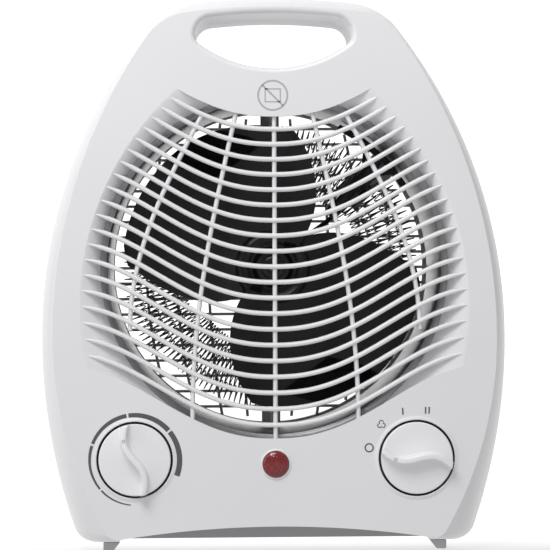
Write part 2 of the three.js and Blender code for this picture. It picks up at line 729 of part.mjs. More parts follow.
const endCapFront = canRear - 3;
keep('motor_end_cap', ringBetween(
  motor.bearing + gap,
  motor.radius - motor.skin - gap,
  [endCapFront, canRear],
  0,
  axisZ,
  20,
), 'black');

const bearingPlaces = [['front', canFront - 1, canFront + 4], ['rear', endCapFront - 0.5, motorRearY + strap.thick]];
for (const [name, from, to] of bearingPlaces) {
  keep(`motor_bearing_${name}`, ringBetween(bore, motor.bearing, [from, to], 0, axisZ, 16), 'brass');
}

const magnetOuter = motor.radius - motor.skin - gap;
const magnetInner = magnetOuter - motor.magnet;
const magnetSpan = [canFront + motor.skin + 3, endCapFront - 3];
for (const [name, side] of sides) {
  const half = box([side < 0 ? -magnetOuter : 2.5, side < 0 ? -2.5 : magnetOuter], magnetSpan, [axisZ - 20, axisZ + 20]);
  keep(`motor_magnet_${name}`, ringBetween(magnetInner, magnetOuter, magnetSpan, 0, axisZ, 20).intersect(half), 'rubber');
}

// The armature is a three-pole stack with its windings, on the shaft.
function armature() {
  const reach = magnetInner - motor.airGap;
  const span = [magnetSpan[0] + 1, magnetSpan[1] - 3];
  const poles = [0, 1, 2].map((i) => (
    box([0, reach], span, [-2, 2]).rotate([0, i * 120, 0]).translate([0, 0, axisZ])
  ));
  const core = rod(reach * 0.62, span, 0, axisZ, 12);
  const rimRing = ringBetween(reach - 1.2, reach, span, 0, axisZ, 18);
  const slots = [0, 1, 2].map((i) => (
    box([0, reach + 2], [span[0] - 1, span[1] + 1], [-0.8, 0.8]).rotate([0, 60 + i * 120, 0]).translate([0, 0, axisZ])
  ));
  return join([core, ...poles, rimRing.subtract(join(slots))])
    .subtract(rod(shaft.radius + gap, [span[0] - 1, span[1] + 1], 0, axisZ, 12));
}
keep('motor_armature', armature(), 'copper');

const commutatorSpan = [magnetSpan[1] - 2.5, magnetSpan[1] + 1.5];
keep('motor_commutator', ringBetween(shaft.radius + gap, 3.6, commutatorSpan, 0, axisZ, 12), 'copper');

const shaftSpan = [fanY - fan.hubHalf - nut.length, motorRearY + strap.thick + 1.5];
keep('motor_shaft', rod(shaft.radius, shaftSpan, 0, axisZ, 16), 'steel');

const rectifierY = motorRearY + strap.thick + 2.5;
keep('motor_rectifier', ringBetween(4, 12, [rectifierY, rectifierY + 2.5], 0, axisZ, 16), 'brass');

// ---------------------------------------------------------------- fan
// A blade spans these angles at a radius, in degrees anticlockwise seen from the front.
function bladeSpan(r) {
  const inward = (fanTip - r) / (fanTip - fan.root);
  return [88 - 48 * inward ** 0.9, 178 + 50 * inward ** 1.25];
}

function fanBlade(turn) {
  const [across, out] = [8, 5];
  const position = [];
  const index = [];
  const row = out + 1;
  const layer = (across + 1) * row;
  for (const skin of [-0.5, 0.5]) {
    for (let i = 0; i <= across; i++) {
      for (let j = 0; j <= out; j++) {
        const r = fan.root - 1 + ((fanTip - fan.root + 1) * j) / out;
        const [from, to] = bladeSpan(Math.max(r, fan.root));
        const share = i / across;
        const angle = THREE.MathUtils.degToRad(from + (to - from) * share + turn);
        const pitch = fan.rootPitch + ((fan.pitch - fan.rootPitch) * j) / out;
        const y = fanY + pitch * (share - 0.5) + skin * fan.skin;
        position.push(r * Math.cos(angle), y, axisZ + r * Math.sin(angle));
      }
    }
  }
  const quad = (a, b, c, d) => index.push(a, b, c, a, c, d);
  for (let i = 0; i < across; i++) {
    for (let j = 0; j < out; j++) {
      const a = i * row + j;
      quad(a, a + 1, a + row + 1, a + row);
      quad(layer + a, layer + a + row, layer + a + row + 1, layer + a + 1);
    }
  }
  for (let i = 0; i < across; i++) {
    const [a, b] = [i * row, i * row + out];
    quad(a, a + row, layer + a + row, layer + a);
    quad(b, layer + b, layer + b + row, b + row);
  }
  for (let j = 0; j < out; j++) {
    const [a, b] = [j, across * row + j];
    quad(a, layer + a, layer + a + 1, a + 1);
    quad(b, b + 1, layer + b + 1, layer + b);
  }
  const shape = new THREE.BufferGeometry();
  shape.setAttribute('position', new THREE.Float32BufferAttribute(position, 3));
  shape.setIndex(index);
  return solid(shape);
}

const hubSpan = [fanY - fan.hubHalf, fanY + fan.hubHalf];
const hub = rod(fan.hub, hubSpan, 0, axisZ, 24).subtract(rod(shaft.radius + gap, [fanY - 9, fanY + 9], 0, axisZ, 12));
keep('fan_impeller', join([hub, fanBlade(0), fanBlade(180)]), 'black');
const nutSpan = [fanY - fan.hubHalf - gap - nut.length, fanY - fan.hubHalf - gap];
keep('fan_nut', ringBetween(shaft.radius + gap, nut.radius, nutSpan, 0, axisZ, 6), 'black');

// ---------------------------------------------------------------- controls
// A control knob: a disc with a swept ridge across it, seen from the front at an angle.
function controlKnob(x, degrees) {
  const discFront = faceY - knob.disc;
  const back = faceY + knobWell.deep - gap;
  const disc = turned([
    [0, back], [knob.radius, back], [knob.radius, discFront + 1.2], [knob.radius - 1.4, discFront], [0, discFront],
  ], 0, 0, 28);
  const reach = knob.radius - 1.4;
  const steps = 7;
  const line = Array.from({ length: steps + 1 }, (_, i) => {
    const u = -1 + (2 * i) / steps;
    return { u: u * reach, v: knob.sway * Math.sin(Math.PI * u * 0.75), half: (knob.wide / 2) * (1 - 0.35 * u * u) };
  });
  const outline = [
    ...line.map(({ u, v, half }) => [u, v - half]),
    ...line.slice().reverse().map(({ u, v, half }) => [u, v + half]),
  ];
  const bounds = rod(knob.radius - 0.6, [faceY - knob.proud, faceY], 0, 0, 28);
  const ridge = prism(outline, [faceY - knob.proud, discFront + 0.5]).intersect(bounds);
  const socket = rod(spindle.radius + gap, [back - spindle.into - gap, back + 1], 0, 0, 12);
  return disc.add(ridge).subtract(socket).rotate([0, -degrees, 0]).translate([x, 0, knob.z]);
}

const spindleFront = faceY + knobWell.deep - gap - spindle.into;
const bodyFront = faceY + knobWell.deep + wall + gap;
const spindleBack = bodyFront + 5;
function spindleRod(x) {
  return rod(spindle.radius, [spindleFront, spindleBack], x, knob.z, 12);
}

const spindleBore = (x) => rod(spindle.radius + gap, [bodyFront - 1, spindleBack + gap], x, knob.z, 12);
keep('thermostat_knob', controlKnob(-knob.x, 104), 'white');
keep('thermostat_spindle', spindleRod(-knob.x), 'brass');
keep('thermostat_body', box(
  [-knob.x - thermostat.wide / 2, -knob.x + thermostat.wide / 2],
  [bodyFront, bodyFront + thermostat.deep],
  [knob.z - thermostat.high / 2, knob.z + thermostat.high / 2],
).subtract(spindleBore(-knob.x)), 'steel');
keep('selector_knob', controlKnob(knob.x, 167), 'white');
keep('selector_spindle', spindleRod(knob.x), 'brass');
keep('selector_switch', rod(selector.radius, [bodyFront, bodyFront + selector.deep], knob.x, knob.z, 24)
  .subtract(spindleBore(knob.x)), 'black');

const lensBack = faceY + 1.6;
keep('pilot_lamp_lens', turned([
  [0, lensBack], [lamp.radius, lensBack], [lamp.radius, faceY], [lamp.radius - 0.8, faceY - 1.2],
  [lamp.radius * 0.55, faceY - lamp.dome + 0.3], [0, faceY - lamp.dome],
], 0, lamp.z, 20), 'red');
keep('pilot_lamp_holder', turned([
  [0, lensBack + gap], [lamp.radius - gap, lensBack + gap], [lamp.radius - gap, lensBack + 6],
  [lamp.holder, lensBack + 7], [lamp.holder, lensBack + lamp.holderDeep], [0, lensBack + lamp.holderDeep],
], 0, lamp.z, 16), 'black');

// ---------------------------------------------------------------- screws
function screwBody(x, y, z) {
  const head = rod(screw.head, [y, y + screw.headHigh], x, z, 12);
  const cross = [box([-2, 2], [y + 1, y + 3], [-0.4, 0.4]), box([-0.4, 0.4], [y + 1, y + 3], [-2, 2])];
  const shank = rod(screw.radius, [y - screw.length + screw.headHigh, y + 0.5], x, z, 8);
  return head.add(shank).subtract(join(cross).translate([x, 0, z]));
}

for (const { name: row, x, z } of bossRows) {
  for (const [name, side] of sides) {
    const seatY = partingY + gap + boss.seat + gap;
    keep(`casing_screw_${row}_${name}`, screwBody(side * x, seatY, z), 'steel');
  }
}

// The strap screws point backwards into their posts.
for (const [name, side] of [['lower', -1], ['upper', 1]]) {
  const z = axisZ + side * strapReach;
  const length = boss.bite - 3;
  const head = rod(screw.head, [motorRearY - gap - screw.headHigh, motorRearY - gap], 0, z, 12);
  const shank = rod(screw.radius, [motorRearY - gap - 0.5, motorRearY + length], 0, z, 8);
  keep(`strap_screw_${name}`, head.add(shank), 'steel');
}

// ---------------------------------------------------------------- safety cut-outs
const cutoutAngle = THREE.MathUtils.degToRad(cutout.angle);
const cutoutAt = duct.inner - cutout.fromDuct;
const cutoutX = cutoutAt * Math.cos(cutoutAngle);
const cutoutZ = axisZ + cutoutAt * Math.sin(cutoutAngle);
const cutoutY = elementY + element.depth / 2 + 2;
keep('thermal_cutout', rod(cutout.radius, [cutoutY, cutoutY + cutout.thick], cutoutX, cutoutZ, 16), 'black');

// A bent plate carries the cut-out from the duct wall.
function cutoutBracket() {
  const plateY = [cutoutY + cutout.thick + gap, cutoutY + cutout.thick + gap + 1];
  const plate = box([cutoutAt - 8, duct.inner + duct.skin + 5], plateY, [-7, 7]);
  return plate.rotate([0, -cutout.angle, 0]).translate([0, 0, axisZ]);
}
keep('cutout_bracket', cutoutBracket(), 'steel');

const fuseX = -34;
keep('thermal_fuse', rod(2, [cutoutY, cutoutY + 11], fuseX, axisZ + 34, 10), 'steel');

// ---------------------------------------------------------------- cord inlet and wiring
keep('cord_gland', turned([
  [gland.bore, rearY],
  [gland.flange, rearY],
  [gland.flange, rearY - gland.flangeThick],
  [gland.neck, rearY - gland.flangeThick],
  [gland.neck, rearY - gland.flangeThick - gland.inside],
  [gland.bore, rearY - gland.flangeThick - gland.inside],
  [gland.bore, rearY],
], gland.x, gland.z, 16), 'black');

const clampBack = rearY - gland.flangeThick - gland.inside - 4;
keep('cord_clamp', box(
  [gland.x - clamp.wide / 2, gland.x + clamp.wide / 2],
  [clampBack - clamp.deep, clampBack],
  [gland.z - clamp.high / 2, gland.z + clamp.high / 2],
).subtract(rod(gland.bore, [clampBack - 20, clampBack + 1], gland.x, gland.z, 16)), 'black');

const block = { x: 6, wide: 26, high: 14, deep: 16, y: -15 };
keep('terminal_block', box(
  [block.x - block.wide / 2, block.x + block.wide / 2],
  [block.y, block.y + block.deep],
  [bottomZ + wall + gap, bottomZ + wall + gap + block.high],
), 'white');

const blockTop = bottomZ + wall + gap + block.high;
const terminalZ = blockTop + wire.radius + gap;
const selectorBack = bodyFront + selector.deep + 2 * wire.radius;
const thermostatBack = bodyFront + thermostat.deep + 2 * wire.radius;
const ductOut = duct.inner + duct.skin + wire.radius + 2;
const wireRoutes = {
  wire_block_to_selector: [
    [block.x + 8, block.y + 8, terminalZ + 1], [34, block.y + 6, terminalZ + 3],
    [knob.x - 8, selectorBack + 4, knob.z - 12], [knob.x, selectorBack, knob.z],
  ],
  wire_block_to_thermostat: [
    [block.x - 8, block.y + 8, terminalZ + 1], [-34, block.y + 4, terminalZ + 3],
    [-knob.x + 8, thermostatBack + 6, knob.z - 10], [-knob.x, thermostatBack, knob.z],
  ],
  wire_to_cutout: [
    [knob.x + 6, selectorBack, knob.z + 6], [ductOut + 5, 0, axisZ - 50], [ductOut + 14, 20, axisZ + 14],
    [cutoutX + 20, cutoutY + 13, cutoutZ + 12], [cutoutX + 2, cutoutY + 10, cutoutZ],
  ],
  wire_to_motor: [
    [cutoutX - 4, cutoutY + 10, cutoutZ + 2], [34, rectifierY + 6, axisZ + 28], [9, rectifierY + 5, axisZ + 9],
  ],
};
for (const [name, route] of Object.entries(wireRoutes)) keep(name, tube(route, wire.radius, 14), 'wire');

const heater = new THREE.Group();
heater.add(...pieces);
export default heater;
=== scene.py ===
"""Fan convector heater: its looks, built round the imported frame.

Shapes are worked out in millimetres in the row frame and turned into metres as each mesh is made.
"""

import math

import bmesh
import bpy
from mathutils import Matrix, Vector


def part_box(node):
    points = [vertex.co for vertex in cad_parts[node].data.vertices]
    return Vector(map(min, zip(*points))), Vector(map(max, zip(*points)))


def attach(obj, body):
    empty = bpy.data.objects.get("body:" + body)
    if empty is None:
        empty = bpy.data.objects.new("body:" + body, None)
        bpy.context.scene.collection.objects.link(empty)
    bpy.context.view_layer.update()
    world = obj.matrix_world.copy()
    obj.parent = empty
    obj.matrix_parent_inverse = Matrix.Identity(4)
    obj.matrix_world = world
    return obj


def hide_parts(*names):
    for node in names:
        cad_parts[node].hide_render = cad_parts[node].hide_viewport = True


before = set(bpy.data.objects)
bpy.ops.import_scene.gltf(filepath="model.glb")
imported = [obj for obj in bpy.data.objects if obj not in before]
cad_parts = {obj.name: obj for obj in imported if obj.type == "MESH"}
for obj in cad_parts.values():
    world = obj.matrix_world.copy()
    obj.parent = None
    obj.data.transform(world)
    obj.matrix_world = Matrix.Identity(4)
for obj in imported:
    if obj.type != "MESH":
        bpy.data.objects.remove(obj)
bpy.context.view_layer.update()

MM = 0.001


# ---------------------------------------------------------------- places taken from the frame
def low(node):
    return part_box(node)[0] / MM


def high(node):
    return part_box(node)[1] / MM


def middle(node):
    return (low(node) + high(node)) / 2


WALL = 2.4
SKIN_GAP = 0.3  # between the two halves of the casing
COLLAR_PROUD = 0.6
FACE_Y = low("front_cover").y + COLLAR_PROUD
PARTING_Y = high("front_cover").y
REAR_Y = high("rear_cover").y
HALF_WIDTH = high("rear_cover").x
TOP_Z = high("rear_cover").z
BASE_Z = low("rear_cover").z
AXIS_Z = middle("duct_ring").z
HANDLE_REAR_Y = FACE_Y + 50
DUCT_RADIUS = high("duct_ring").x
KNOB_X = middle("selector_knob").x
KNOB_Z = middle("selector_knob").z
KNOB_RADIUS = (high("selector_knob").x - low("selector_knob").x) / 2
KNOB_FRONT_Y = low("selector_knob").y
LAMP_Z = middle("pilot_lamp_lens").z
LAMP_RADIUS = high("pilot_lamp_lens").x
INTAKE_RADIUS = high("rear_grille").x

# ---------------------------------------------------------------- camera
CAMERA_REACH = 1000
CAMERA_SIDE = -28
CAMERA_Z = 126.3
VIEW_WIDTH = 247.9  # what the camera takes in across the face
SENSOR = 36
ROLL = math.radians(0.3)


def add_camera():
    data = bpy.data.cameras.new("camera")
    data.sensor_width = SENSOR
    data.lens = SENSOR * math.hypot(CAMERA_REACH, CAMERA_SIDE) / VIEW_WIDTH
    data.clip_end = 20
    camera = bpy.data.objects.new("camera", data)
    bpy.context.scene.collection.objects.link(camera)
    place = Vector((CAMERA_SIDE, FACE_Y - CAMERA_REACH, CAMERA_Z))
    target = Vector((0, FACE_Y, CAMERA_Z))
    turn = (target - place).to_track_quat("-Z", "Y").to_matrix().to_4x4()
    camera.matrix_world = Matrix.Translation(place * MM) @ turn @ Matrix.Rotation(-ROLL, 4, "Z")
    bpy.context.scene.camera = camera


add_camera()


# ---------------------------------------------------------------- materials
def new_material(name, colour, roughness, metallic=0.0):
    material = bpy.data.materials.new(name)
    material.use_nodes = True
    shader = material.node_tree.nodes["Principled BSDF"]
    shader.inputs["Base Color"].default_value = (*colour, 1)
    shader.inputs["Roughness"].default_value = roughness
    shader.inputs["Metallic"].default_value = metallic
    return material, material.node_tree, shader


def add_noise(tree, scale, detail=3.0, stretch=None):
    place = tree.nodes.new("ShaderNodeTexCoord").outputs["Object"]
    texture = tree.nodes.new("ShaderNodeTexNoise")
    texture.inputs["Scale"].default_value = scale
    texture.inputs["Detail"].default_value = detail
    if stretch:
        mapping = tree.nodes.new("ShaderNodeMapping")
        mapping.inputs["Scale"].default_value = stretch
        tree.links.new(place, mapping.inputs["Vector"])
        place = mapping.outputs["Vector"]
    tree.links.new(place, texture.inputs["Vector"])
    return texture.outputs["Fac"]


def vary_colour(tree, shader, source, dark, light):
    ramp = tree.nodes.new("ShaderNodeValToRGB")
    ramp.color_ramp.elements[0].position = 0.3
    ramp.color_ramp.elements[1].position = 0.7
    ramp.color_ramp.elements[0].color = (*dark, 1)
    ramp.color_ramp.elements[1].color = (*light, 1)
    tree.links.new(source, ramp.inputs["Fac"])
    tree.links.new(ramp.outputs["Color"], shader.inputs["Base Color"])


def vary_roughness(tree, shader, source, smooth, rough):
    spread = tree.nodes.new("ShaderNodeMapRange")
    spread.inputs["To Min"].default_value = smooth
    spread.inputs["To Max"].default_value = rough
    tree.links.new(source, spread.inputs["Value"])
    tree.links.new(spread.outputs["Result"], shader.inputs["Roughness"])


def add_bump(tree, shader, source, strength, distance):
    bump = tree.nodes.new("ShaderNodeBump")
    bump.inputs["Strength"].default_value = strength
    bump.inputs["Distance"].default_value = distance
    tree.links.new(source, bump.inputs["Height"])
    tree.links.new(bump.outputs["Normal"], shader.inputs["Normal"])


def moulded(name, colour, roughness, grain=1400, strength=0.06, shade=0.03):
    """Injection-moulded plastic: a fine spark-eroded grain and faint cloudiness."""
    material, tree, shader = new_material(name, colour, roughness)
    clouds = add_noise(tree, 14, 2)
    vary_colour(tree, shader, clouds, [c * (1 - shade) for c in colour], colour)
    vary_roughness(tree, shader, clouds, roughness - 0.04, roughness + 0.05)
    add_bump(tree, shader, add_noise(tree, grain, 2), strength, 0.0002)
    return material


def metal(name, colour, roughness, stretch=(1, 30, 1), scale=60, shade=0.25):
    """Rolled or drawn metal with fine streaks along its grain."""
    material, tree, shader = new_material(name, colour, roughness, 1.0)
    streaks = add_noise(tree, scale, 5, stretch)
    vary_colour(tree, shader, streaks, [c * (1 - shade) for c in colour], colour)
    vary_roughness(tree, shader, streaks, roughness - 0.08, roughness + 0.12)
    add_bump(tree, shader, streaks, 0.08, 0.0002)
    return material


def lens_material():
    material, tree, shader = new_material("red_lens", (0.2, 0.002, 0.002), 0.1)
    shader.inputs["Transmission Weight"].default_value = 0.1
    shader.inputs["Coat Weight"].default_value = 0.8
    shader.inputs["Coat Roughness"].default_value = 0.05
    place = tree.nodes.new("ShaderNodeTexCoord")
    cells = tree.nodes.new("ShaderNodeTexVoronoi")
    cells.inputs["Scale"].default_value = 900
    tree.links.new(place.outputs["Object"], cells.inputs["Vector"])
    vary_colour(tree, shader, cells.outputs["Distance"], (0.13, 0.001, 0.001), (0.26, 0.003, 0.003))
    add_bump(tree, shader, cells.outputs["Distance"], 0.35, 0.0006)
    return material


def sleeve_material():
    """Woven glass-fibre sleeving, black."""
    material, tree, shader = new_material("wire_sleeve", (0.012, 0.012, 0.013), 0.6)
    place = tree.nodes.new("ShaderNodeTexCoord")
    weave = tree.nodes.new("ShaderNodeTexWave")
    weave.wave_type = "BANDS"
    weave.bands_direction = "DIAGONAL"
    weave.inputs["Scale"].default_value = 700
    weave.inputs["Distortion"].default_value = 2
    tree.links.new(place.outputs["Object"], weave.inputs["Vector"])
    vary_colour(tree, shader, weave.outputs["Fac"], (0.006, 0.006, 0.006), (0.03, 0.03, 0.032))
    add_bump(tree, shader, weave.outputs["Fac"], 0.5, 0.0003)
    return material


CASING = moulded("casing_white", (0.76, 0.76, 0.775), 0.36)
KNOB = moulded("knob_white", (0.8, 0.8, 0.815), 0.3, strength=0.03)
# Painted shade: the feet are the casing's plastic, painted grey for the shade they stand in.
FOOT_PAINTED_SHADE = moulded("foot_painted_shade_grey", (0.42, 0.42, 0.43), 0.55, strength=0.12)
# Painted shade: a dark grey for the panel under the arch, standing in for the shadow there.
PAINTED_SHADE_GREY = moulded("painted_shade_grey", (0.3, 0.3, 0.31), 0.5)
BLACK = moulded("black_plastic", (0.012, 0.012, 0.013), 0.42, shade=0.3)
BLADE = moulded("fan_black", (0.005, 0.005, 0.006), 0.26, grain=500, strength=0.05, shade=0.3)
# Painted shadow: black for the lining of the knob wells, standing in for the shade in the gap round each
# knob.
SHADOW_GAP = moulded("painted_shadow_black", (0.01, 0.01, 0.011), 0.6, shade=0.3)
PRINT = moulded("print_grey", (0.09, 0.09, 0.095), 0.5, shade=0.08)
PRINT_LIGHT = moulded("print_light_grey", (0.42, 0.42, 0.43), 0.5, shade=0.05)
MICA = moulded("mica", (0.55, 0.5, 0.4), 0.55, grain=260, strength=0.3, shade=0.25)
FERRITE = moulded("ferrite", (0.05, 0.05, 0.055), 0.6, shade=0.3)
STEEL = metal("galvanised_steel", (0.44, 0.44, 0.45), 0.34)
SCREW = metal("bright_steel", (0.62, 0.62, 0.63), 0.28)
WIRE = metal("heating_wire", (0.17, 0.165, 0.16), 0.55, (1, 1, 1), 900)
BRONZE = metal("bronze", (0.6, 0.42, 0.2), 0.3)
COPPER = metal("copper", (0.55, 0.22, 0.09), 0.35, (60, 1, 1))
LENS = lens_material()
SLEEVE = sleeve_material()


# ---------------------------------------------------------------- meshes
def link(name, mesh):
    thing = bpy.data.objects.new(name, mesh)
    bpy.context.scene.collection.objects.link(thing)
    return thing


def make(name, points, faces, material=None, sharp=35):
    mesh = bpy.data.meshes.new(name)
    mesh.from_pydata([(x * MM, y * MM, z * MM) for x, y, z in points], [], faces)
    if material:
        mesh.materials.append(material)
    finish_surface(mesh, sharp)
    return link(name, mesh)


def finish_surface(mesh, sharp):
    work = bmesh.new()
    work.from_mesh(mesh)
    bmesh.ops.recalc_face_normals(work, faces=work.faces)
    work.to_mesh(mesh)
    work.free()
    mesh.polygons.foreach_set("use_smooth", [True] * len(mesh.polygons))
    mesh.set_sharp_from_angle(angle=math.radians(sharp))
    mesh.update()


def bake(thing):
    """Applies the object's modifiers to its mesh."""
    bpy.context.view_layer.update()
    graph = bpy.context.evaluated_depsgraph_get()
    mesh = bpy.data.meshes.new_from_object(thing.evaluated_get(graph))
    thing.modifiers.clear()
    thing.data = mesh
    return thing


def combine(target, tool, operation):
    """Cuts with a tool or joins it on, and removes it."""
    cut = target.modifiers.new("cut", "BOOLEAN")
    cut.solver = "MANIFOLD"
    cut.operation = operation
    cut.object = tool
    bake(target)
    bpy.data.objects.remove(tool)


def cut_away(target, *tools):
    for tool in tools:
        combine(target, tool, "DIFFERENCE")


def weld_on(target, tool):
    combine(target, tool, "UNION")


def shade_cleanly(thing, material):
    """Gives big flat faces their own normals, so that rounded edges shade cleanly into them."""
    mesh = thing.data
    mesh.materials.clear()
    mesh.materials.append(material)
    mesh.polygons.foreach_set("use_smooth", [True] * len(mesh.polygons))
    mesh.polygons.foreach_set("material_index", [0] * len(mesh.polygons))
    mesh.set_sharp_from_angle(angle=math.radians(30))
    weigh = thing.modifiers.new("weigh", "WEIGHTED_NORMAL")
    weigh.keep_sharp = True
    weigh.weight = 60
    return bake(thing)


def skin(rings, closed_ends=True, wrap=True):
    """Points and faces over rings of points; each ring has the same number of points."""
    count = len(rings[0])
    points = [p for ring in rings for p in ring]
    faces = []
    span = count if wrap else count - 1
    for r in range(len(rings) - 1):
        for i in range(span):
            a, b = r * count + i, r * count + (i + 1) % count
            faces.append((a, b, b + count, a + count))
    if closed_ends:
        faces.append(tuple(range(count))[::-1])
        faces.append(tuple((len(rings) - 1) * count + i for i in range(count)))
    return points, faces


def loft(name, sections, material=None, sharp=35):
    rings = [[(x, y, z) for x, z in outline] for y, outline in sections]
    return make(name, *skin(rings), material, sharp)


def prism(name, outline, y_from, y_to, material=None, sharp=35):
    return loft(name, [(y_from, outline), (y_to, outline)], material, sharp)


def turned(name, profile, x, z, material=None, steps=96, sharp=35):
    """A closed profile of (radius, depth) turned about a line along Y; radius 0 closes on the axis."""
    points, faces, rings = [], [], []
    for radius, y in profile:
        if radius < 1e-6:
            rings.append([len(points)] * steps)
            points.append((x, y, z))
            continue
        rings.append(list(range(len(points), len(points) + steps)))
        for i in range(steps):
            angle = math.tau * i / steps
            points.append((x + radius * math.cos(angle), y, z + radius * math.sin(angle)))
    pairs = list(zip(rings, rings[1:]))
    if profile[0][0] > 1e-6:
        pairs.append((rings[-1], rings[0]))
    for first, second in pairs:
        for i in range(steps):
            j = (i + 1) % steps
            corner = [first[i], first[j], second[j], second[i]]
            face = tuple(dict.fromkeys(corner))
            if len(face) > 2:
                faces.append(face)
    return make(name, points, faces, material, sharp)


def rod(name, radius, y_from, y_to, x, z, steps=48):
    return turned(name, [(0, y_from), (radius, y_from), (radius, y_to), (0, y_to)], x, z, steps=steps)


def box_between(name, a, b):
    ring = [(a[0], a[2]), (b[0], a[2]), (b[0], b[2]), (a[0], b[2])]
    return prism(name, ring, a[1], b[1])


def sweep(path, section, closed=False, up=Vector((0, 1, 0))):
    """Points and faces of a section of (along up, across) pairs carried along a path of points."""
    rings = []
    for i, point in enumerate(path):
        before = path[i - 1] if i or closed else point
        after = path[(i + 1) % len(path)] if i + 1 < len(path) or closed else point
        ahead = (Vector(after) - Vector(before)).normalized()
        side = ahead.cross(up).normalized()
        top = side.cross(ahead).normalized()
        shape = section(i / max(1, len(path) - 1)) if callable(section) else section
        rings.append([tuple(Vector(point) + top * a + side * b) for a, b in shape])
    if closed:
        rings.append(rings[0])
        points, faces = skin(rings, closed_ends=False)
        last = (len(rings) - 1) * len(rings[0])
        faces = [tuple(v - last if v >= last else v for v in face) for face in faces]
        return points[:last], faces
    return skin(rings)


def gather(parts):
    """Joins several (points, faces) lists into one."""
    points, faces = [], []
    for some_points, some_faces in parts:
        start = len(points)
        points.extend(some_points)
        faces.extend(tuple(v + start for v in face) for face in some_faces)
    return points, faces


def round_section(radius_up, radius_side, steps=12):
    return [
        (radius_up * math.cos(math.tau * i / steps), radius_side * math.sin(math.tau * i / steps))
        for i in range(steps)
    ]


def keep(thing, body, slot, *nodes):
    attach(thing, body)
    if nodes:
        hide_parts(*nodes)


# ---------------------------------------------------------------- outlines
def arc_radius(span, sag):
    return (span * span + sag * sag) / (2 * sag)


def arc(centre, radius, start, end, steps):
    a = math.atan2(start[1] - centre[1], start[0] - centre[0])
    b = math.atan2(end[1] - centre[1], end[0] - centre[0])
    angles = [a + (b - a) * (i + 1) / steps for i in range(steps)]
    return [(centre[0] + radius * math.cos(t), centre[1] + radius * math.sin(t)) for t in angles]


def toward(start, target, distance):
    dx, dz = target[0] - start[0], target[1] - start[1]
    share = distance / math.hypot(dx, dz)
    return (start[0] + dx * share, start[1] + dz * share)


def nested_centre(a, reach_a, b, reach_b):
    """Centre of the circle touching two others from inside, on their upper right."""
    apart = math.dist(a, b)
    t = (reach_a**2 - reach_b**2 + apart**2) / (2 * apart)
    h = math.sqrt(reach_a**2 - t**2)
    ux, uz = (b[0] - a[0]) / apart, (b[1] - a[1]) / apart
    options = [
        (a[0] + t * ux - h * uz, a[1] + t * uz + h * ux),
        (a[0] + t * ux + h * uz, a[1] + t * uz - h * ux),
    ]
    return max(options, key=lambda p: p[1])


WIDEST_Z = AXIS_Z - 32
CROWN_RADIUS = 290


def casing_shape(half_width, base_half, crown_half, top_z, base_z, shoulder, corner):
    return {
        "half_width": half_width,
        "top_z": top_z,
        "base_z": base_z,
        "shoulder": shoulder,
        "corner": corner,
        "crown": CROWN_RADIUS,
        "lower": arc_radius(WIDEST_Z - base_z, half_width - base_half),
        "upper": arc_radius(TOP_Z - WIDEST_Z, half_width - crown_half),
    }


def shrunk(shape, by):
    smaller = {key: value - by for key, value in shape.items()}
    smaller["base_z"] = shape["base_z"] + by
    return smaller


def casing_outline(shape):
    half_width, top_z, base_z = shape["half_width"], shape["top_z"], shape["base_z"]
    shoulder, corner, crown = shape["shoulder"], shape["corner"], shape["crown"]
    lower_r, upper_r = shape["lower"], shape["upper"]
    lower, upper, top = (half_width - lower_r, WIDEST_Z), (half_width - upper_r, WIDEST_Z), (0, top_z - crown)
    bend = nested_centre(upper, upper_r - shoulder, top, crown - shoulder)
    reach = math.sqrt((lower_r - corner) ** 2 - (base_z + corner - WIDEST_Z) ** 2)
    toe = (lower[0] + reach, base_z + corner)
    toe_end = toward(lower, toe, lower_r)
    bend_start, bend_end = toward(upper, bend, upper_r), toward(top, bend, crown)
    base = [(toe[0] * i / 10, base_z) for i in range(11)]
    half = [
        *base[1:],
        *arc(toe, corner, (toe[0], base_z), toe_end, 10),
        *arc(lower, lower_r, toe_end, (half_width, WIDEST_Z), 24),
        *arc(upper, upper_r, (half_width, WIDEST_Z), bend_start, 34),
        *arc(bend, shoulder, bend_start, bend_end, 20),
        *arc(top, crown, bend_end, (0, top_z), 16),
    ]
    return [base[0]] + half + [(-x, z) for x, z in reversed(half[:-1])]


def mix(a, b, t):
    return [(p[0] + (q[0] - p[0]) * t, p[1] + (q[1] - p[1]) * t) for p, q in zip(a, b)]


def round_over(start, end, y_from, y_to, steps, degrees):
    """Sections that turn from one outline to another like a quarter of an ellipse."""
    limit = math.radians(degrees)
    sections = []
    for i in range(steps + 1):
        angle = limit * i / steps
        inward = (1 - math.cos(angle)) / (1 - math.cos(limit))
        onward = math.sin(angle) / math.sin(limit)
        sections.append((y_from + (y_to - y_from) * onward, mix(start, end, inward)))
    return sections


FACE_LIFT = 2.9  # how far the flat of the face stops short of the base
FULL = casing_shape(HALF_WIDTH, 90.5, 44.5, TOP_Z, BASE_Z, 30, 9)
FACE = casing_shape(HALF_WIDTH - 6.8, 75, 41.5, TOP_Z - 6.5, BASE_Z + FACE_LIFT, 24, 6)

# The hand opening
HAND_TOP = TOP_Z - 9.4
HAND_BOTTOM = HAND_TOP - 24.8
HAND_HALF = 35.6
HAND_SMILE = 12.6
HAND_CROWN_SAG = 2.6
HAND_CORNER, HAND_LOW_CORNER = 8, 5
BODY_TOP = HAND_BOTTOM - 1
BODY = {**FULL, "top_z": BODY_TOP}
BACK = casing_shape(HALF_WIDTH - 14, 73.5, 44.5, BODY_TOP - 4.5, BASE_Z + 3, 24, 12)


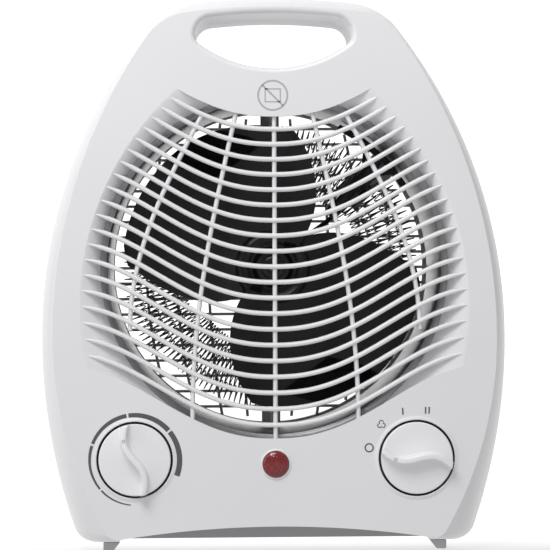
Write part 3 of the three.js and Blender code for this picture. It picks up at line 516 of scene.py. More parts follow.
def hand_outline(grow):
    """Lens-shaped: a smiling lower edge, a nearly level upper one, and round corners."""
    top, bottom = HAND_TOP + grow, HAND_BOTTOM - grow
    crown = arc_radius(HAND_HALF, HAND_CROWN_SAG) + grow
    smile = arc_radius(HAND_HALF, HAND_SMILE) + grow
    crown_centre, smile_centre = (0, top - crown), (0, bottom + smile)
    bend, low_bend = HAND_CORNER + grow, HAND_LOW_CORNER + grow
    upper_x, lower_x = HAND_HALF - HAND_CORNER, HAND_HALF - HAND_LOW_CORNER
    upper = (upper_x, crown_centre[1] + math.sqrt((crown - bend) ** 2 - upper_x**2))
    lower = (lower_x, smile_centre[1] - math.sqrt((smile - low_bend) ** 2 - lower_x**2))
    low_turn, high_turn = toward(smile_centre, lower, smile), toward(crown_centre, upper, crown)
    right = [
        *arc(smile_centre, smile, (0, bottom), low_turn, 24),
        *arc(lower, low_bend, low_turn, (lower_x + low_bend, lower[1]), 10),
        *arc(upper, bend, (upper_x + bend, upper[1]), high_turn, 12),
        *arc(crown_centre, crown, high_turn, (0, top), 14),
    ]
    return [(0, bottom)] + right + [(-x, z) for x, z in reversed(right[:-1])]


def edge_cutter(name, outline_at, y_face, y_end, fillet, steps=6):
    """A cutter along Y that leaves a rounded edge of the given fillet where it enters at y_face."""
    sections = [(y_face - 4, outline_at(fillet))]
    for i in range(steps + 1):
        angle = math.pi / 2 * i / steps
        sections.append((y_face + fillet * (1 - math.cos(angle)), outline_at(fillet * (1 - math.sin(angle)))))
    sections.append((y_end, outline_at(0)))
    return loft(name, sections)


# The outlet recess
WAVE_RISE, WAVE_HALF, WAVE_POWER = 32.4, 91.5, 1.15
RECESS_HALF, RECESS_DOWN = 88, 18
RECESS_RADIUS = arc_radius(82 + RECESS_DOWN, RECESS_HALF - 42.1)
RECESS_CENTRE = (RECESS_HALF - RECESS_RADIUS, AXIS_Z - RECESS_DOWN)
RECESS_TOP, RECESS_BOTTOM = AXIS_Z + 67.8, AXIS_Z - 77.5
OUTLET_RADIUS = 79
DISH_DEPTH, DISH_CURVE = 5.8, 1.35


def wave(x):
    share = min(abs(x) / WAVE_HALF, 1)
    return WAVE_RISE / 2 * (1 - math.cos(math.pi * share**WAVE_POWER))


def recess_half(z, grow):
    return RECESS_CENTRE[0] + math.sqrt((RECESS_RADIUS + grow) ** 2 - (z - RECESS_CENTRE[1]) ** 2)


def wave_end(middle_z, grow):
    inside, outside = 0.0, RECESS_HALF + grow
    for _ in range(40):
        x = (inside + outside) / 2
        if x < recess_half(middle_z + wave(x), grow):
            inside = x
        else:
            outside = x
    return inside


def recess_outline(grow, side_grow=None):
    side_grow = grow if side_grow is None else side_grow
    top, bottom = RECESS_TOP + grow, RECESS_BOTTOM - grow
    top_x, bottom_x = wave_end(top, side_grow), wave_end(bottom, side_grow)
    steps = 40
    lower = [(bottom_x * i / steps, bottom + wave(bottom_x * i / steps)) for i in range(steps + 1)]
    upper = [(top_x * (steps - i) / steps, top + wave(top_x * (steps - i) / steps)) for i in range(steps + 1)]
    side = arc(RECESS_CENTRE, RECESS_RADIUS + side_grow, lower[-1], upper[0], 40)[:-1]
    right = lower + side + upper
    return right + [(-x, z) for x, z in reversed(right[1:-1])]


def recess_reach(angle):
    """How far the recess side, carried on past its ends, lies from the fan axis."""
    dx, dz = abs(math.cos(angle)), math.sin(angle)
    cx, cz = RECESS_CENTRE[0], RECESS_CENTRE[1] - AXIS_Z
    along = dx * cx + dz * cz
    return along + math.sqrt(along**2 + RECESS_RADIUS**2 - cx**2 - cz**2)


def dish_solid(name, deeper, inner):
    """The space in front of the dish surface, from the outlet's edge out past the recess side."""
    steps, rows = 240, 14
    rings = []
    for j in range(rows + 1):
        t = j / rows
        ring = []
        for i in range(steps):
            angle = math.tau * i / steps
            reach = recess_reach(angle)
            radius = inner + (reach - inner) * t
            share = (reach - radius) / (reach - OUTLET_RADIUS)
            y = FACE_Y + DISH_DEPTH * share**DISH_CURVE + deeper
            ring.append((radius * math.cos(angle), y, AXIS_Z + radius * math.sin(angle)))
        rings.append(ring)
    outer = [(x, FACE_Y - 3, z) for x, _, z in rings[-1]]
    core = [(x, FACE_Y - 3, z) for x, _, z in rings[0]]
    points, faces = skin([core] + rings + [outer], closed_ends=False)
    last = (len(rings) + 1) * steps
    faces += [(last + i, last + (i + 1) % steps, (i + 1) % steps, i) for i in range(steps)]
    return make(name, points, faces)


# ---------------------------------------------------------------- front cover
ARCH_HALF, ARCH_RISE = 71, 5.6


def under_arch(lift):
    """A cutter for the arch along the lower edge."""
    half = ARCH_HALF + lift
    radius = arc_radius(ARCH_HALF, ARCH_RISE)
    apex = BASE_Z + FACE_LIFT + ARCH_RISE + lift
    end_z = apex - radius + math.sqrt(radius**2 - half**2)
    curve = arc((0, apex - radius), radius, (half, end_z), (-half, end_z), 48)
    return prism("arch", [(-half, -2), (half, -2), (half, end_z)] + curve, FACE_Y - 2, PARTING_Y + 2)


KNOB_CLEARANCE = 1
WELL_RADIUS = KNOB_RADIUS + KNOB_CLEARANCE
WELL_DEPTH = 3.0
BACKING = 2.2  # wall behind the dish


def circle_at(radius, x, z, steps=96):
    def outline(grow):
        reach = radius + grow
        angles = [math.tau * i / steps for i in range(steps)]
        return [(x + reach * math.cos(a), z + reach * math.sin(a)) for a in angles]

    return outline


def recess_limit(grow):
    return prism("limit", recess_outline(grow), FACE_Y - 6, FACE_Y + 30)


def collar(x):
    """The raised ring round a knob, before its well is cut."""
    front = FACE_Y - COLLAR_PROUD
    profile = (
        (-1, FACE_Y + 1.2), (-1, front + 0.05), (0.25, front), (0.8, front + 0.12),
        (1.3, front + 0.36), (1.8, FACE_Y - 0.06), (2.3, FACE_Y + 0.1), (2.3, FACE_Y + 1.2),
    )
    return turned("collar", [(WELL_RADIUS + out, y) for out, y in profile], x, KNOB_Z)


def front_hollow():
    """The space inside the front cover, less what stands in it."""
    full_in, face_in = casing_outline(shrunk(FULL, WALL)), casing_outline(shrunk(FACE, WALL))
    inside = round_over(full_in, face_in, PARTING_Y, FACE_Y + WALL, 10, 72)
    hollow = loft("hollow", [(PARTING_Y + 3, full_in)] + inside)
    cut_away(hollow, under_arch(WALL), prism("tunnel", hand_outline(WALL), FACE_Y - 2, PARTING_Y + 4))
    backing = dish_solid("backing", BACKING, OUTLET_RADIUS)
    combine(backing, recess_limit(BACKING), "INTERSECT")
    cut_away(hollow, backing)
    cup_back = FACE_Y + WELL_DEPTH + WALL
    for side in (-1, 1):
        cut_away(hollow, rod("cup", WELL_RADIUS + WALL, FACE_Y - 1, cup_back, side * KNOB_X, KNOB_Z))
    return hollow


def front_cover():
    full, face = casing_outline(FULL), casing_outline(FACE)
    shell = loft("casing_front", round_over(full, face, PARTING_Y, FACE_Y, 14, 72))
    cut_away(shell, under_arch(0), front_hollow())
    dish = dish_solid("dish", 0, OUTLET_RADIUS - 4)
    weld_on(dish, rod("mouth", OUTLET_RADIUS, FACE_Y - 3, FACE_Y + 24, 0, AXIS_Z, steps=240))
    combine(dish, recess_limit(0), "INTERSECT")
    cut_away(shell, dish)
    for x in (-KNOB_X, KNOB_X):
        weld_on(shell, collar(x))
        well = circle_at(WELL_RADIUS, x, KNOB_Z)
        cut_away(shell, edge_cutter("well", well, FACE_Y - COLLAR_PROUD, FACE_Y + WELL_DEPTH, 0.5))
        cut_away(shell, rod("spindle_hole", 3.6, FACE_Y - 1, FACE_Y + 12, x, KNOB_Z))
    lamp = circle_at(LAMP_RADIUS + 0.3, 0, LAMP_Z)
    cut_away(
        shell,
        edge_cutter("hand", hand_outline, FACE_Y, PARTING_Y + 5, 2.4, 8),
        edge_cutter("lamp_hole", lamp, FACE_Y, FACE_Y + 9, 0.35),
    )
    shade_cleanly(shell, CASING)
    keep(shell, "housing", "casing", "front_cover")


front_cover()


# ---------------------------------------------------------------- louvres
LOUVRE_COUNT = 20
LOUVRE_HIGH, LOUVRE_DEEP = 2.2, 4.0
LOUVRE_Y = FACE_Y + 0.2 + LOUVRE_DEEP / 2
FIRST_LOUVRE, LOUVRE_PITCH, PITCH_STEP = 62.2, 6.8, 0.026
TIP_SHARE = 0.045  # of a louvre's length


def louvre_middle(index):
    return AXIS_Z + FIRST_LOUVRE - LOUVRE_PITCH * index - PITCH_STEP * index * (index - 1) / 2


def louvre_section(t):
    """A louvre's section at a share of its length: it runs out to a thin tip at each end."""
    full = min(1, 0.35 + 0.65 * min(t, 1 - t) / TIP_SHARE)
    return bar_section(LOUVRE_HIGH * full, LOUVRE_DEEP)


def bar_section(high_mm, deep_mm):
    """A rounded bar section, flatter on its sides than an ellipse."""
    section = []
    for i in range(16):
        angle = math.tau * i / 16
        c, s = math.cos(angle), math.sin(angle)
        section.append((
            deep_mm / 2 * math.copysign(abs(c) ** 0.75, c),
            high_mm / 2 * math.copysign(abs(s) ** 0.75, s),
        ))
    return section


def louvre(index):
    middle_z = louvre_middle(index)
    end = wave_end(middle_z, 0.6)
    steps = 72
    xs = [-end + 2 * end * i / steps for i in range(steps + 1)]
    path = [(x, LOUVRE_Y, middle_z + wave(x)) for x in xs]
    return sweep(path, louvre_section)


def upright(top_x, bottom_x, stop, start=None):
    """A bar behind the louvres, from edge to edge or to a louvre given by number."""
    top_z = RECESS_TOP + wave(top_x) + 1 if start is None else louvre_middle(start) + wave(top_x)
    if stop >= LOUVRE_COUNT:
        stop_z = RECESS_BOTTOM + wave(bottom_x) - 1
    else:
        stop_z = louvre_middle(stop) + wave(bottom_x)
    path = []
    for i in range(33):
        t = i / 32
        x = top_x + (bottom_x - top_x) * math.sin(t * math.pi / 2)
        path.append((x, LOUVRE_Y + 0.9, top_z + (stop_z - top_z) * t))
    return sweep(path, bar_section(2.1, 3.8))


def front_grille():
    parts = [louvre(i) for i in range(LOUVRE_COUNT)] + [upright(0, 0, LOUVRE_COUNT)]
    for side in (-1, 1):
        parts.append(upright(side * 17, side * 37.5, LOUVRE_COUNT))
        parts.append(upright(side * 32.4, side * 65.5, 16.5, 0))
    keep(make("louvres", *gather(parts), CASING, 60), "housing", "casing", "front_grille")


front_grille()


# ---------------------------------------------------------------- rear cover
HANDLE_ROUND = 5


def rear_sections(inset, steps):
    full, body, back = shrunk(FULL, inset), shrunk(BODY, inset), shrunk(BACK, inset)
    edge = shrunk({**FULL, "top_z": TOP_Z - HANDLE_ROUND}, inset)
    turn = HANDLE_REAR_Y - inset
    return [
        *round_over(casing_outline(full), casing_outline(edge), turn - HANDLE_ROUND * 1.6, turn, steps, 80),
        *round_over(casing_outline(body), casing_outline(back), turn + 0.4, REAR_Y - inset, 2 * steps, 78),
    ]


BOSSES = [(side * x, z) for x, z in ((80, 22), (50.5, TOP_Z - 25)) for side in (-1, 1)]
GLAND = middle("cord_gland")
SILL_HALF, SILL_HIGH = ARCH_HALF + WALL, 9.5


def rear_hollow(start):
    """The space inside the rear cover, less what stands in it."""
    hollow = loft("hollow", [(start - 2, casing_outline(shrunk(FULL, WALL)))] + rear_sections(WALL, 7))
    cut_away(hollow, prism("tunnel", hand_outline(WALL), FACE_Y, REAR_Y + 4))
    for x, z in BOSSES:
        cut_away(hollow, rod("boss", 5.2, start - 3, REAR_Y + 3, x, z))
    cut_away(hollow, rod("gland_seat", 9.8, REAR_Y - 6.5, REAR_Y + 3, GLAND.x, GLAND.z))
    rim = ((-2, -5.4), (-2, 2), (WALL, 2), (WALL, -5.4))
    cut_away(hollow, turned("rim", [(INTAKE_RADIUS + out, REAR_Y + y) for out, y in rim], 0, AXIS_Z))
    sill_from, sill_to = (-SILL_HALF, start - 1, BASE_Z - 1), (SILL_HALF, start + WALL, BASE_Z + SILL_HIGH)
    cut_away(hollow, box_between("sill", sill_from, sill_to))
    return hollow


def rear_cover():
    start = PARTING_Y + SKIN_GAP
    shell = loft("casing_rear", [(start, casing_outline(FULL))] + rear_sections(0, 9))
    cut_away(shell, rear_hollow(start))
    cut_away(shell, prism("hand", hand_outline(0), PARTING_Y - 5, REAR_Y + 5))
    cut_away(shell, rod("intake", INTAKE_RADIUS - 0.7, REAR_Y - 12, REAR_Y + 2, 0, AXIS_Z, steps=160))
    for x, z in BOSSES:
        cut_away(shell, rod("well", 3.5, start + 5, REAR_Y + 3, x, z))
        cut_away(shell, rod("pilot", 1.8, start - 3, REAR_Y, x, z))
    cut_away(shell, rod("gland_hole", 7.7, REAR_Y - 1.9, REAR_Y + 2, GLAND.x, GLAND.z))
    cut_away(shell, rod("gland_bore", 5.7, REAR_Y - 12, REAR_Y + 2, GLAND.x, GLAND.z))
    shade_cleanly(shell, CASING)
    keep(shell, "housing", "casing", "rear_cover")


def painted_shade_panel():
    """A thin grey panel in front of the sill, seen under the arch; its dark grey is painted shade for the
    shadow under the arch.
    """
    front, back = PARTING_Y + 0.03, PARTING_Y + 0.27
    panel = box_between("painted_shade_panel", (-73, front, BASE_Z + 0.1), (73, back, BASE_Z + SILL_HIGH - 0.1))
    shade_cleanly(panel, PAINTED_SHADE_GREY)
    keep(panel, "housing", "foot")


rear_cover()
painted_shade_panel()


def around_axis(radius, y, steps):
    """Points of a circle about the fan's axis."""
    angles = [math.tau * i / steps for i in range(steps)]
    return [(radius * math.cos(a), y, AXIS_Z + radius * math.sin(a)) for a in angles]


SLAT_PITCH, SLAT_HIGH, SLAT_DEEP = 7.7, 1.5, 2.2
SPOKE_BULGES = (14, 30, 46, 61)


def spoke(side, bulge, reach, y):
    path = []
    for i in range(41):
        z = reach * (i / 20 - 1)
        x = bulge * (1 - 0.24 * (z / reach) ** 2)
        if math.hypot(x, z) < reach:
            path.append((side * x, y, AXIS_Z + z))
    return sweep(path, bar_section(SLAT_HIGH, SLAT_DEEP))


def rear_grille():
    """Level slats, curved spokes and a broad spine inside a rounded ring."""
    reach = INTAKE_RADIUS - 1.5
    y = REAR_Y - SLAT_DEEP / 2 - 0.2
    parts = [sweep(around_axis(reach, REAR_Y - 1.4, 120), bar_section(2.6, 2.6), closed=True)]
    rows = int((reach - 2) / SLAT_PITCH)
    for row in range(-rows, rows + 1):
        z = row * SLAT_PITCH
        half = math.sqrt(reach**2 - z**2)
        path = [(half * (i / 8 - 1), y, AXIS_Z + z) for i in range(17)]
        parts.append(sweep(path, bar_section(SLAT_HIGH, SLAT_DEEP)))
    for bulge in SPOKE_BULGES:
        for side in (-1, 1):
            parts.append(spoke(side, bulge, reach, y - 0.8))
    spine = [(0, y - 0.5, AXIS_Z - reach + 2 * reach * i / 8) for i in range(9)]
    parts.append(sweep(spine, bar_section(7, 2.2)))
    keep(make("intake_grille", *gather(parts), CASING, 50), "housing", "casing", "rear_grille")


rear_grille()


# ---------------------------------------------------------------- feet
def foot(node):
    a, b = low(node), high(node)
    side = 1 if a.x > 0 else -1
    outer, inner = (b.x, a.x) if side > 0 else (a.x, b.x)
    width = abs(outer - inner)
    rings = []
    for z, lean, tuck in ((b.z, 0, 0), (a.z + 0.6, 0.36, 0), (a.z + 0.2, 0.4, 0.15), (a.z, 0.44, 0.45)):
        inside = inner + side * width * lean
        o = outer - side * tuck
        i = inside + side * tuck
        rings.append([(o, a.y + tuck, z), (i, a.y + tuck, z), (i, b.y - tuck, z), (o, b.y - tuck, z)])
    # The feet's grey is painted shade on the casing's plastic.
    thing = make(node + "_moulded", *skin(rings), FOOT_PAINTED_SHADE, 50)
    bevel = thing.modifiers.new("edge", "BEVEL")
    bevel.width = 0.35 * MM
    bevel.segments = 2
    keep(bake(thing), "housing", "foot", node)


for foot_node in ("foot_front_left", "foot_front_right", "foot_rear_left", "foot_rear_right"):
    foot(foot_node)


# ---------------------------------------------------------------- duct
DUCT_SKIN = 0.9


def duct_ring():
    front, back = low("duct_ring").y, high("duct_ring").y
    outer = DUCT_RADIUS
    inner = outer - DUCT_SKIN
    profile = [
        (inner, back), (inner, front + 0.8), (inner + 0.2, front + 0.25), (inner + 0.8, front),
        (outer + 1.2, front - 0.9), (outer + 3.4, front - 1.0), (outer + 3.4, front - 0.5),
        (outer + 1.4, front - 0.4), (outer, front + 1.2), (outer, back),
    ]
    ring = turned("duct", profile, 0, AXIS_Z, STEEL, 180, 40)
    keep(ring, "housing", "sheet_steel", "duct_ring")


duct_ring()


# ---------------------------------------------------------------- fan
FAN_TIP = high("fan_impeller").x
FAN_Y = middle("fan_impeller").y
FAN_ROOT, FAN_HUB = 16, 17


def blade_span(radius):
    inward = (FAN_TIP - radius) / (FAN_TIP - FAN_ROOT)
    return 88 - 48 * inward**0.9, 178 + 50 * inward**1.25


def blade(turn):
    """One broad twisted blade; its leading corner is cut back in a wide curve."""
    across, out = 56, 26
    rings = []
    for j in range(out + 1):
        t = j / out
        front, back = [], []
        for i in range(across + 1):
            share = i / across
            tip = FAN_TIP - 6.6 * max(0, 1 - share / 0.5) ** 1.6 - 2.5 * max(0, share - 0.93) / 0.07
            radius = FAN_ROOT - 1 + (tip - FAN_ROOT + 1) * t
            start, end = blade_span(max(radius, FAN_ROOT))
            angle = math.radians(start + (end - start) * share + turn)
            camber = 1.6 * math.sin(math.pi * share) * t
            y = FAN_Y + (6 + 7 * t) * (share - 0.5) + camber
            x, z = radius * math.cos(angle), AXIS_Z + radius * math.sin(angle)
            front.append((x, y - 0.6, z))
            back.append((x, y + 0.6, z))
        rings.append(front + back[::-1])
    return skin(rings)


def hub_profile(y):
    return [
        (0, y + 4), (15.5, y + 4), (FAN_HUB, y + 3), (FAN_HUB + 0.4, y - 1.5),
        (FAN_HUB - 0.6, y - 2.8), (14.6, y - 3.4), (13.2, y - 2.6), (9.6, y - 2.2),
        (8.6, y - 3.2), (7.6, y - 4.4), (6.2, y - 4.6), (0, y - 4.6),
    ]


def cap_profile(back, front):
    return [
        (0, back), (5.6, back), (5.6, front + 0.9), (4.9, front + 0.2),
        (3.4, front), (3.1, front + 0.8), (2.2, front + 1.0), (0, front + 1.0),
    ]


def fan():
    hub = turned("fan", hub_profile(FAN_Y), 0, AXIS_Z, BLADE, 96, 40)
    ring = sweep(around_axis(11.4, FAN_Y - 2.5, 72), round_section(0.6, 0.45, 10), closed=True)
    blades = make("blades", *gather([blade(0), blade(180), ring]), BLADE, 40)
    blades.name = "fan_blades"
    keep(hub, "fan_rotor", "fan_black", "fan_impeller")
    keep(blades, "fan_rotor", "fan_black")
    cap = turned("fan_cap", cap_profile(FAN_Y - 4.3, low("fan_nut").y), 0, AXIS_Z, BLADE, 72, 40)
    keep(cap, "fan_rotor", "fan_black", "fan_nut")


fan()


# ---------------------------------------------------------------- heating coils
COIL_OUTER, COIL_DEEP = 8.3, 3.0
COIL_FIRST, COIL_TURNS = 42, 2.5
COIL_LAST = DUCT_RADIUS - DUCT_SKIN - 9
WIRE_RADIUS = 0.31
WINDS_PER_TURN = 160
STEPS_PER_WIND = 12
WIND_LAG = 0.9  # share of its advance that a wind holds back at its outer end


def coil(node, start_angle):
    """Resistance wire wound flat along a spiral path; each wind steps on at its inner end."""
    y = middle(node).y
    count = int(WINDS_PER_TURN * COIL_TURNS) * STEPS_PER_WIND
    reach, rise = COIL_OUTER / 2 - WIRE_RADIUS, COIL_DEEP / 2 - WIRE_RADIUS
    path = []
    for i in range(count + 1):
        t = i / count
        around = math.tau * i / STEPS_PER_WIND
        lag = WIND_LAG * math.sin(around) / WINDS_PER_TURN
        angle = start_angle + math.tau * COIL_TURNS * t - lag
        radius = COIL_FIRST + (COIL_LAST - COIL_FIRST) * t + reach * math.cos(around)
        depth = y + rise * math.sin(around)
        path.append((radius * math.cos(angle), depth, AXIS_Z + radius * math.sin(angle)))
    wire = make(node + "_wound", *sweep(path, round_section(WIRE_RADIUS, WIRE_RADIUS, 5)), WIRE, 80)
    keep(wire, "housing", "heating_wire", node)


coil("heating_coil_first_stage", math.pi / 5)
coil("heating_coil_second_stage", 6 * math.pi / 5)


# ---------------------------------------------------------------- sleeved leads in the duct
def lead(name, path, radius):
    tube = make(name, *sweep(path, round_section(radius, radius)), SLEEVE, 60)
    keep(tube, "housing", "wire_sleeve")


def duct_leads():
    reach = DUCT_RADIUS - 3.6
    y = FAN_Y + 12.5

    def at(radius, degrees, deep=0.0):
        a = math.radians(degrees)
        return (radius * math.cos(a), y + deep, AXIS_Z + radius * math.sin(a))

    lead("lead_radial", [at(reach - 2 - 35 * i / 10, 45 - 2 * i / 10) for i in range(11)], 2.5)
    lead("lead_along_duct", [at(reach, 64 - 33 * i / 16, 1.5 * math.sin(i)) for i in range(17)], 1.5)
    loop = [at(reach - 9 * math.sin(math.pi * i / 14), 38 + i) for i in range(15)]
    lead("lead_loop", loop, 1.5)


duct_leads()


# ---------------------------------------------------------------- knobs
SWAY = 2.6  # of the S-shaped pointer, each way
CREST_HALF, CREST_SHARE = 1.45, 0.74
SCOOP_REACH, SCOOP_SHARE = 5.2, 0.26
KNOB_BACK_Y = FACE_Y + 2.7


def pointer_line(u):
    return SWAY * math.sin(math.pi * u / KNOB_RADIUS)


def knob_front(u, v):
    """Where the knob's front lies at a place on it; u runs along the pointer."""
    r = math.hypot(u, v)
    disc = 1.9 - 0.5 * (r / KNOB_RADIUS) ** 2
    slope = SWAY * math.pi / KNOB_RADIUS * math.cos(math.pi * u / KNOB_RADIUS)
    off = abs(v - pointer_line(u)) / math.hypot(1, slope)
    crest = 1 / (1 + (off / CREST_HALF) ** 10)
    scoop = SCOOP_SHARE * math.exp(-((off / SCOOP_REACH) ** 2))
    ridge = (FACE_Y - KNOB_FRONT_Y - 0.15 - disc) * (1 - 0.25 * (u / KNOB_RADIUS) ** 2)
    return FACE_Y - (disc + ridge * min(1, CREST_SHARE * crest + scoop))


def knob_skin(place):
    """Points and faces of a knob: a sculpted front, a rounded edge, a side and a flat back."""
    rows, steps = 70, 220
    edge = KNOB_RADIUS - 0.5
    around = [(math.cos(math.tau * i / steps), math.sin(math.tau * i / steps)) for i in range(steps)]
    points = [place(0, 0, knob_front(0, 0))]
    for j in range(1, rows + 1):
        r = edge * (j / rows)
        points += [place(r * c, r * s, knob_front(r * c, r * s)) for c, s in around]
    for r, drop in ((KNOB_RADIUS - 0.14, 0.16), (KNOB_RADIUS, 0.55)):
        points += [place(r * c, r * s, knob_front(edge * c, edge * s) + drop) for c, s in around]
    points += [place(KNOB_RADIUS * c, KNOB_RADIUS * s, KNOB_BACK_Y) for c, s in around]
    faces = [(0, 1 + (i + 1) % steps, 1 + i) for i in range(steps)]
    for j in range(rows + 2):
        for i in range(steps):
            a, b = 1 + j * steps + i, 1 + j * steps + (i + 1) % steps
            faces.append((a, b, b + steps, a + steps))
    last = 1 + (rows + 2) * steps
    faces.append(tuple(last + i for i in reversed(range(steps))))
    return points, faces


def knob_dot(name, body, place):
    u = KNOB_RADIUS * 0.6
    v = pointer_line(u)
    x, y, z = place(u, v, knob_front(u, v))
    profile = [(0.45, y + 0.5), (0.45, y - 0.1), (0.8, y - 0.1), (0.8, y + 0.5)]
    keep(turned(name + "_dot", profile, x, z, PRINT_LIGHT, 32), body, "knob")


def knob_painted_shade_lining(name, x):
    """A dark lining of the well, which shows as a line round the knob: painted shadow standing in for the
    shade in the gap between knob and well.
    """
    floor, front = FACE_Y + WELL_DEPTH - 0.05, FACE_Y + 0.1
    inner, outer = WELL_RADIUS - 0.3, WELL_RADIUS - 0.05
    profile = [
        (KNOB_RADIUS - 3, floor - 0.2), (KNOB_RADIUS - 3, floor), (outer, floor),
        (outer, front), (inner, front), (inner, floor - 0.2),
    ]
    keep(turned(name + "_painted_well_shadow", profile, x, KNOB_Z, SHADOW_GAP), "housing", "black_plastic")


def knob(node, body, x, degrees):
    turn = math.radians(degrees)
    c, s = math.cos(turn), math.sin(turn)

    def place(u, v, y):
        return (x + u * c - v * s, y, KNOB_Z + u * s + v * c)

    keep(make(body, *knob_skin(place), KNOB, 50), body, "knob", node)
    knob_dot(body, body, place)
    knob_painted_shade_lining(body, x)


knob("thermostat_knob", "thermostat_dial", -KNOB_X, 104)
knob("selector_knob", "selector_dial", KNOB_X, 167)


# ---------------------------------------------------------------- pilot lamp
def pilot_lamp():
    r, y = LAMP_RADIUS, FACE_Y
    profile = [(0, y + 1.6), (r, y + 1.6), (r, y - 0.5)]
    for i in range(1, 13):
        angle = math.pi / 2 * i / 12
        profile.append((r * 0.98 * math.cos(angle), y - 0.5 - 1.9 * math.sin(angle)))
    profile[-1] = (0, profile[-1][1])
    keep(turned("lamp_lens", profile, 0, LAMP_Z, LENS, 64), "housing", "red_lens", "pilot_lamp_lens")
    rim = [
        (r + 0.08, y + 0.6), (r + 0.08, y - 0.5), (r + 0.35, y - 0.62), (r + 0.75, y - 0.45),
        (r + 0.95, y - 0.02), (r + 0.95, y + 0.05), (r + 0.28, y + 0.1), (r + 0.28, y + 0.6),
    ]
    keep(turned("lamp_bezel", rim, 0, LAMP_Z, KNOB, 64), "housing", "knob")


pilot_lamp()


# ---------------------------------------------------------------- printed marks
INK = 0.06
MARK_RADIUS = 22.0  # of the marks round the selector
SYMBOL_X, SYMBOL_Z, SYMBOL_RADIUS = -0.6, 207.3, 7.0


def mark(name, outline, material=PRINT):
    keep(prism(name, outline, FACE_Y - INK, FACE_Y + INK, material, 30), "housing", "black_plastic")


def sector(x, z, inner, outer, start, end):
    """Part of a ring; inner and outer hold the radii at its start and at its end."""
    steps = 24
    points = []
    for (first, last), shares in ((outer, range(steps + 1)), (inner, range(steps, -1, -1))):
        for i in shares:
            a = math.radians(start + (end - start) * i / steps)
            r = first + (last - first) * i / steps
            points.append((x + r * math.cos(a), z + r * math.sin(a)))
    return points


def ring_mark(name, x, z, inner, outer, material=PRINT):
    profile = [(inner, FACE_Y - INK), (outer, FACE_Y - INK), (outer, FACE_Y + INK), (inner, FACE_Y + INK)]
    keep(turned(name, profile, x, z, material, 64, 30), "housing", "black_plastic")


def bar_mark(name, x, z, wide, tall, lean, material=PRINT):
    c, s = math.cos(math.radians(lean)), math.sin(math.radians(lean))
    corners = [(-wide / 2, -tall / 2), (wide / 2, -tall / 2), (wide / 2, tall / 2), (-wide / 2, tall / 2)]
    mark(name, [(x + u * c - v * s, z + u * s + v * c) for u, v in corners], material)


def heat_scale():
    """A ring of five segments round the thermostat that thickens towards hot."""
    first, last, gap_half = 265.0, -21.0, 1.3
    breaks = [first, 221.0, 160.0, 99.0, 39.6, last]
    for i in range(5):
        start = breaks[i] - (gap_half if i else 0)
        end = breaks[i + 1] + (gap_half if i < 4 else 0)
        share = [(first - a) / (first - last) for a in (start, end)]
        outer = [20.6 + 0.9 * t for t in share]
        inner = [20.1 - 1.5 * t for t in share]
        mark(f"heat_mark_{i + 1}", sector(-KNOB_X, KNOB_Z, inner, outer, start, end))


def beside_selector(degrees):
    a = math.radians(degrees)
    return KNOB_X + MARK_RADIUS * math.cos(a), KNOB_Z + MARK_RADIUS * math.sin(a)


def fan_mark(x, z):
    """Three small hooks round a point."""
    radius, wide, apart = 0.95, 0.45, 0.85
    inner, outer = [radius - wide / 2] * 2, [radius + wide / 2] * 2
    for i in range(3):
        turn = 90 + 120 * i
        a = math.radians(turn)
        lobe = sector(x + apart * math.cos(a), z + apart * math.sin(a), inner, outer, turn - 80, turn + 130)
        mark(f"mark_fan_{i + 1}", lobe)


def selector_marks():
    ring_mark("mark_off", *beside_selector(167.6), 1.5, 2.1)
    fan_mark(*beside_selector(136.3))
    bar_mark("mark_one", *beside_selector(106.4), 0.7, 3.1, 2)
    x, z = beside_selector(77.1)
    bar_mark("mark_two_left", x - 0.8, z, 0.65, 3.1, -2)
    bar_mark("mark_two_right", x + 0.8, z, 0.65, 3.1, -2)


def cover_symbol():
    """A plain do-not-cover mark: a barred circle over a square."""
    x, z, r = SYMBOL_X, SYMBOL_Z, SYMBOL_RADIUS
    ring_mark("symbol_ring", x, z, r - 0.8, r, PRINT_LIGHT)
    bar_mark("symbol_bar", x, z, 0.8, 2 * r - 1, 45, PRINT_LIGHT)
    for name, up in (("top", 2.9), ("bottom", -2.9)):
        bar_mark(f"symbol_{name}", x, z + up, 7.4, 0.55, 0, PRINT_LIGHT)
    for name, aside in (("left", -3.4), ("right", 3.4)):
        bar_mark(f"symbol_{name}", x + aside, z, 0.55, 5.2, 0, PRINT_LIGHT)


heat_scale()
selector_marks()
cover_symbol()


# ---------------------------------------------------------------- carried-over nodes
NODE_MATERIALS = {
    STEEL: ["motor_strap", "motor_can", "cutout_bracket", "thermostat_body"],
    SCREW: [
        "casing_screw_lower_left", "casing_screw_lower_right", "casing_screw_upper_left",
        "casing_screw_upper_right", "strap_screw_lower", "strap_screw_upper", "motor_shaft", "thermal_fuse",
    ],
    MICA: ["mica_plate_right", "mica_plate_top", "mica_plate_left", "mica_plate_bottom"],
    BLACK: [
        "motor_end_cap", "selector_switch", "pilot_lamp_holder", "thermal_cutout", "cord_gland", "cord_clamp",
    ],
    BRONZE: [
        "motor_bearing_front", "motor_bearing_rear", "motor_rectifier", "thermostat_spindle",
        "selector_spindle",
    ],
    FERRITE: ["motor_magnet_left", "motor_magnet_right"],
    COPPER: ["motor_armature", "motor_commutator"],
    KNOB: ["terminal_block"],
    SLEEVE: ["wire_block_to_selector", "wire_block_to_thermostat", "wire_to_cutout", "wire_to_motor"],
}
for finish, names in NODE_MATERIALS.items():
    for node_name in names:
        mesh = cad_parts[node_name].data
        mesh.materials.clear()
        mesh.materials.append(finish)


# ---------------------------------------------------------------- stage
STAGE, BACKDROP_HIGH = 3, 4  # how far the floor reaches each way, and the backdrop up, in metres
BEHIND_GLOW, FRONT_GLOW, BACKDROP_GLOW, WORLD_GLOW = 0.95, 0.42, 0.9, 0.42
KEY_POWER, SIDE_POWER = 5.6, 2.5


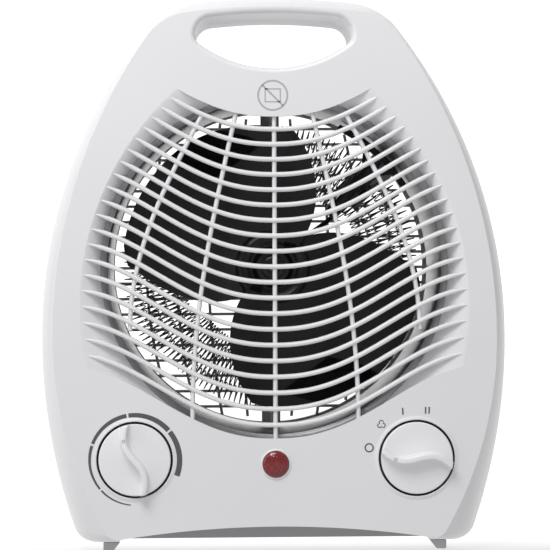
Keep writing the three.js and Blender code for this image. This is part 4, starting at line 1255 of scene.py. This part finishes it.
def stage_material(name, colour, glow, front_glow=None):
    """Pale matt surface that glows; a floor may glow less in front of the heater than behind it."""
    material, tree, shader = new_material(name, colour, 0.9)
    shader.inputs["Emission Color"].default_value = (glow, glow, glow, 1)
    shader.inputs["Emission Strength"].default_value = 1
    if front_glow is not None:
        place = tree.nodes.new("ShaderNodeTexCoord")
        mapping = tree.nodes.new("ShaderNodeMapping")
        mapping.inputs["Rotation"].default_value = (0, 0, -math.pi / 2)
        mapping.inputs["Scale"].default_value = (1, 12, 1)
        mapping.inputs["Location"].default_value = (0.85, 0, 0)
        fade = tree.nodes.new("ShaderNodeTexGradient")
        tree.links.new(place.outputs["Object"], mapping.inputs["Vector"])
        tree.links.new(mapping.outputs["Vector"], fade.inputs["Vector"])
        ramp = tree.nodes.new("ShaderNodeValToRGB")
        ramp.color_ramp.elements[0].color = (front_glow, front_glow, front_glow, 1)
        ramp.color_ramp.elements[1].color = (glow, glow, glow, 1)
        tree.links.new(fade.outputs["Fac"], ramp.inputs["Fac"])
        tree.links.new(ramp.outputs["Color"], shader.inputs["Emission Color"])
    return material


def plane(name, corners, material):
    mesh = bpy.data.meshes.new(name)
    mesh.from_pydata(corners, [], [(0, 1, 2, 3)])
    mesh.materials.append(material)
    link(name, mesh)


def area_light(name, place, target, size, power):
    data = bpy.data.lights.new(name, "AREA")
    data.shape = "RECTANGLE"
    data.size, data.size_y = size
    data.energy = power
    lamp = bpy.data.objects.new(name, data)
    lamp.location = place
    lamp.rotation_euler = (Vector(target) - Vector(place)).to_track_quat("-Z", "Y").to_euler()
    bpy.context.scene.collection.objects.link(lamp)


def add_stage():
    floor = stage_material("floor", (0.2, 0.2, 0.2), BEHIND_GLOW, FRONT_GLOW)
    wall = stage_material("backdrop", (0.5, 0.5, 0.5), BACKDROP_GLOW)
    a, b = -STAGE, STAGE
    plane("floor", [(a, a, 0), (b, a, 0), (b, b, 0), (a, b, 0)], floor)
    plane("backdrop", [(a, b, 0), (b, b, 0), (b, b, BACKDROP_HIGH), (a, b, BACKDROP_HIGH)], wall)
    world = bpy.data.worlds.new("world")
    world.use_nodes = True
    world.node_tree.nodes["Background"].inputs["Color"].default_value = (1, 1, 1, 1)
    world.node_tree.nodes["Background"].inputs["Strength"].default_value = WORLD_GLOW
    bpy.context.scene.world = world
    bpy.context.scene.view_settings.view_transform = "Standard"
    area_light("key", (-0.25, -0.58, 0.8), (0, 0, 0.16), (0.5, 0.4), KEY_POWER)
    area_light("side", (-1.2, -0.3, 0.5), (0, 0, 0.12), (0.8, 0.8), SIDE_POWER)


add_stage()
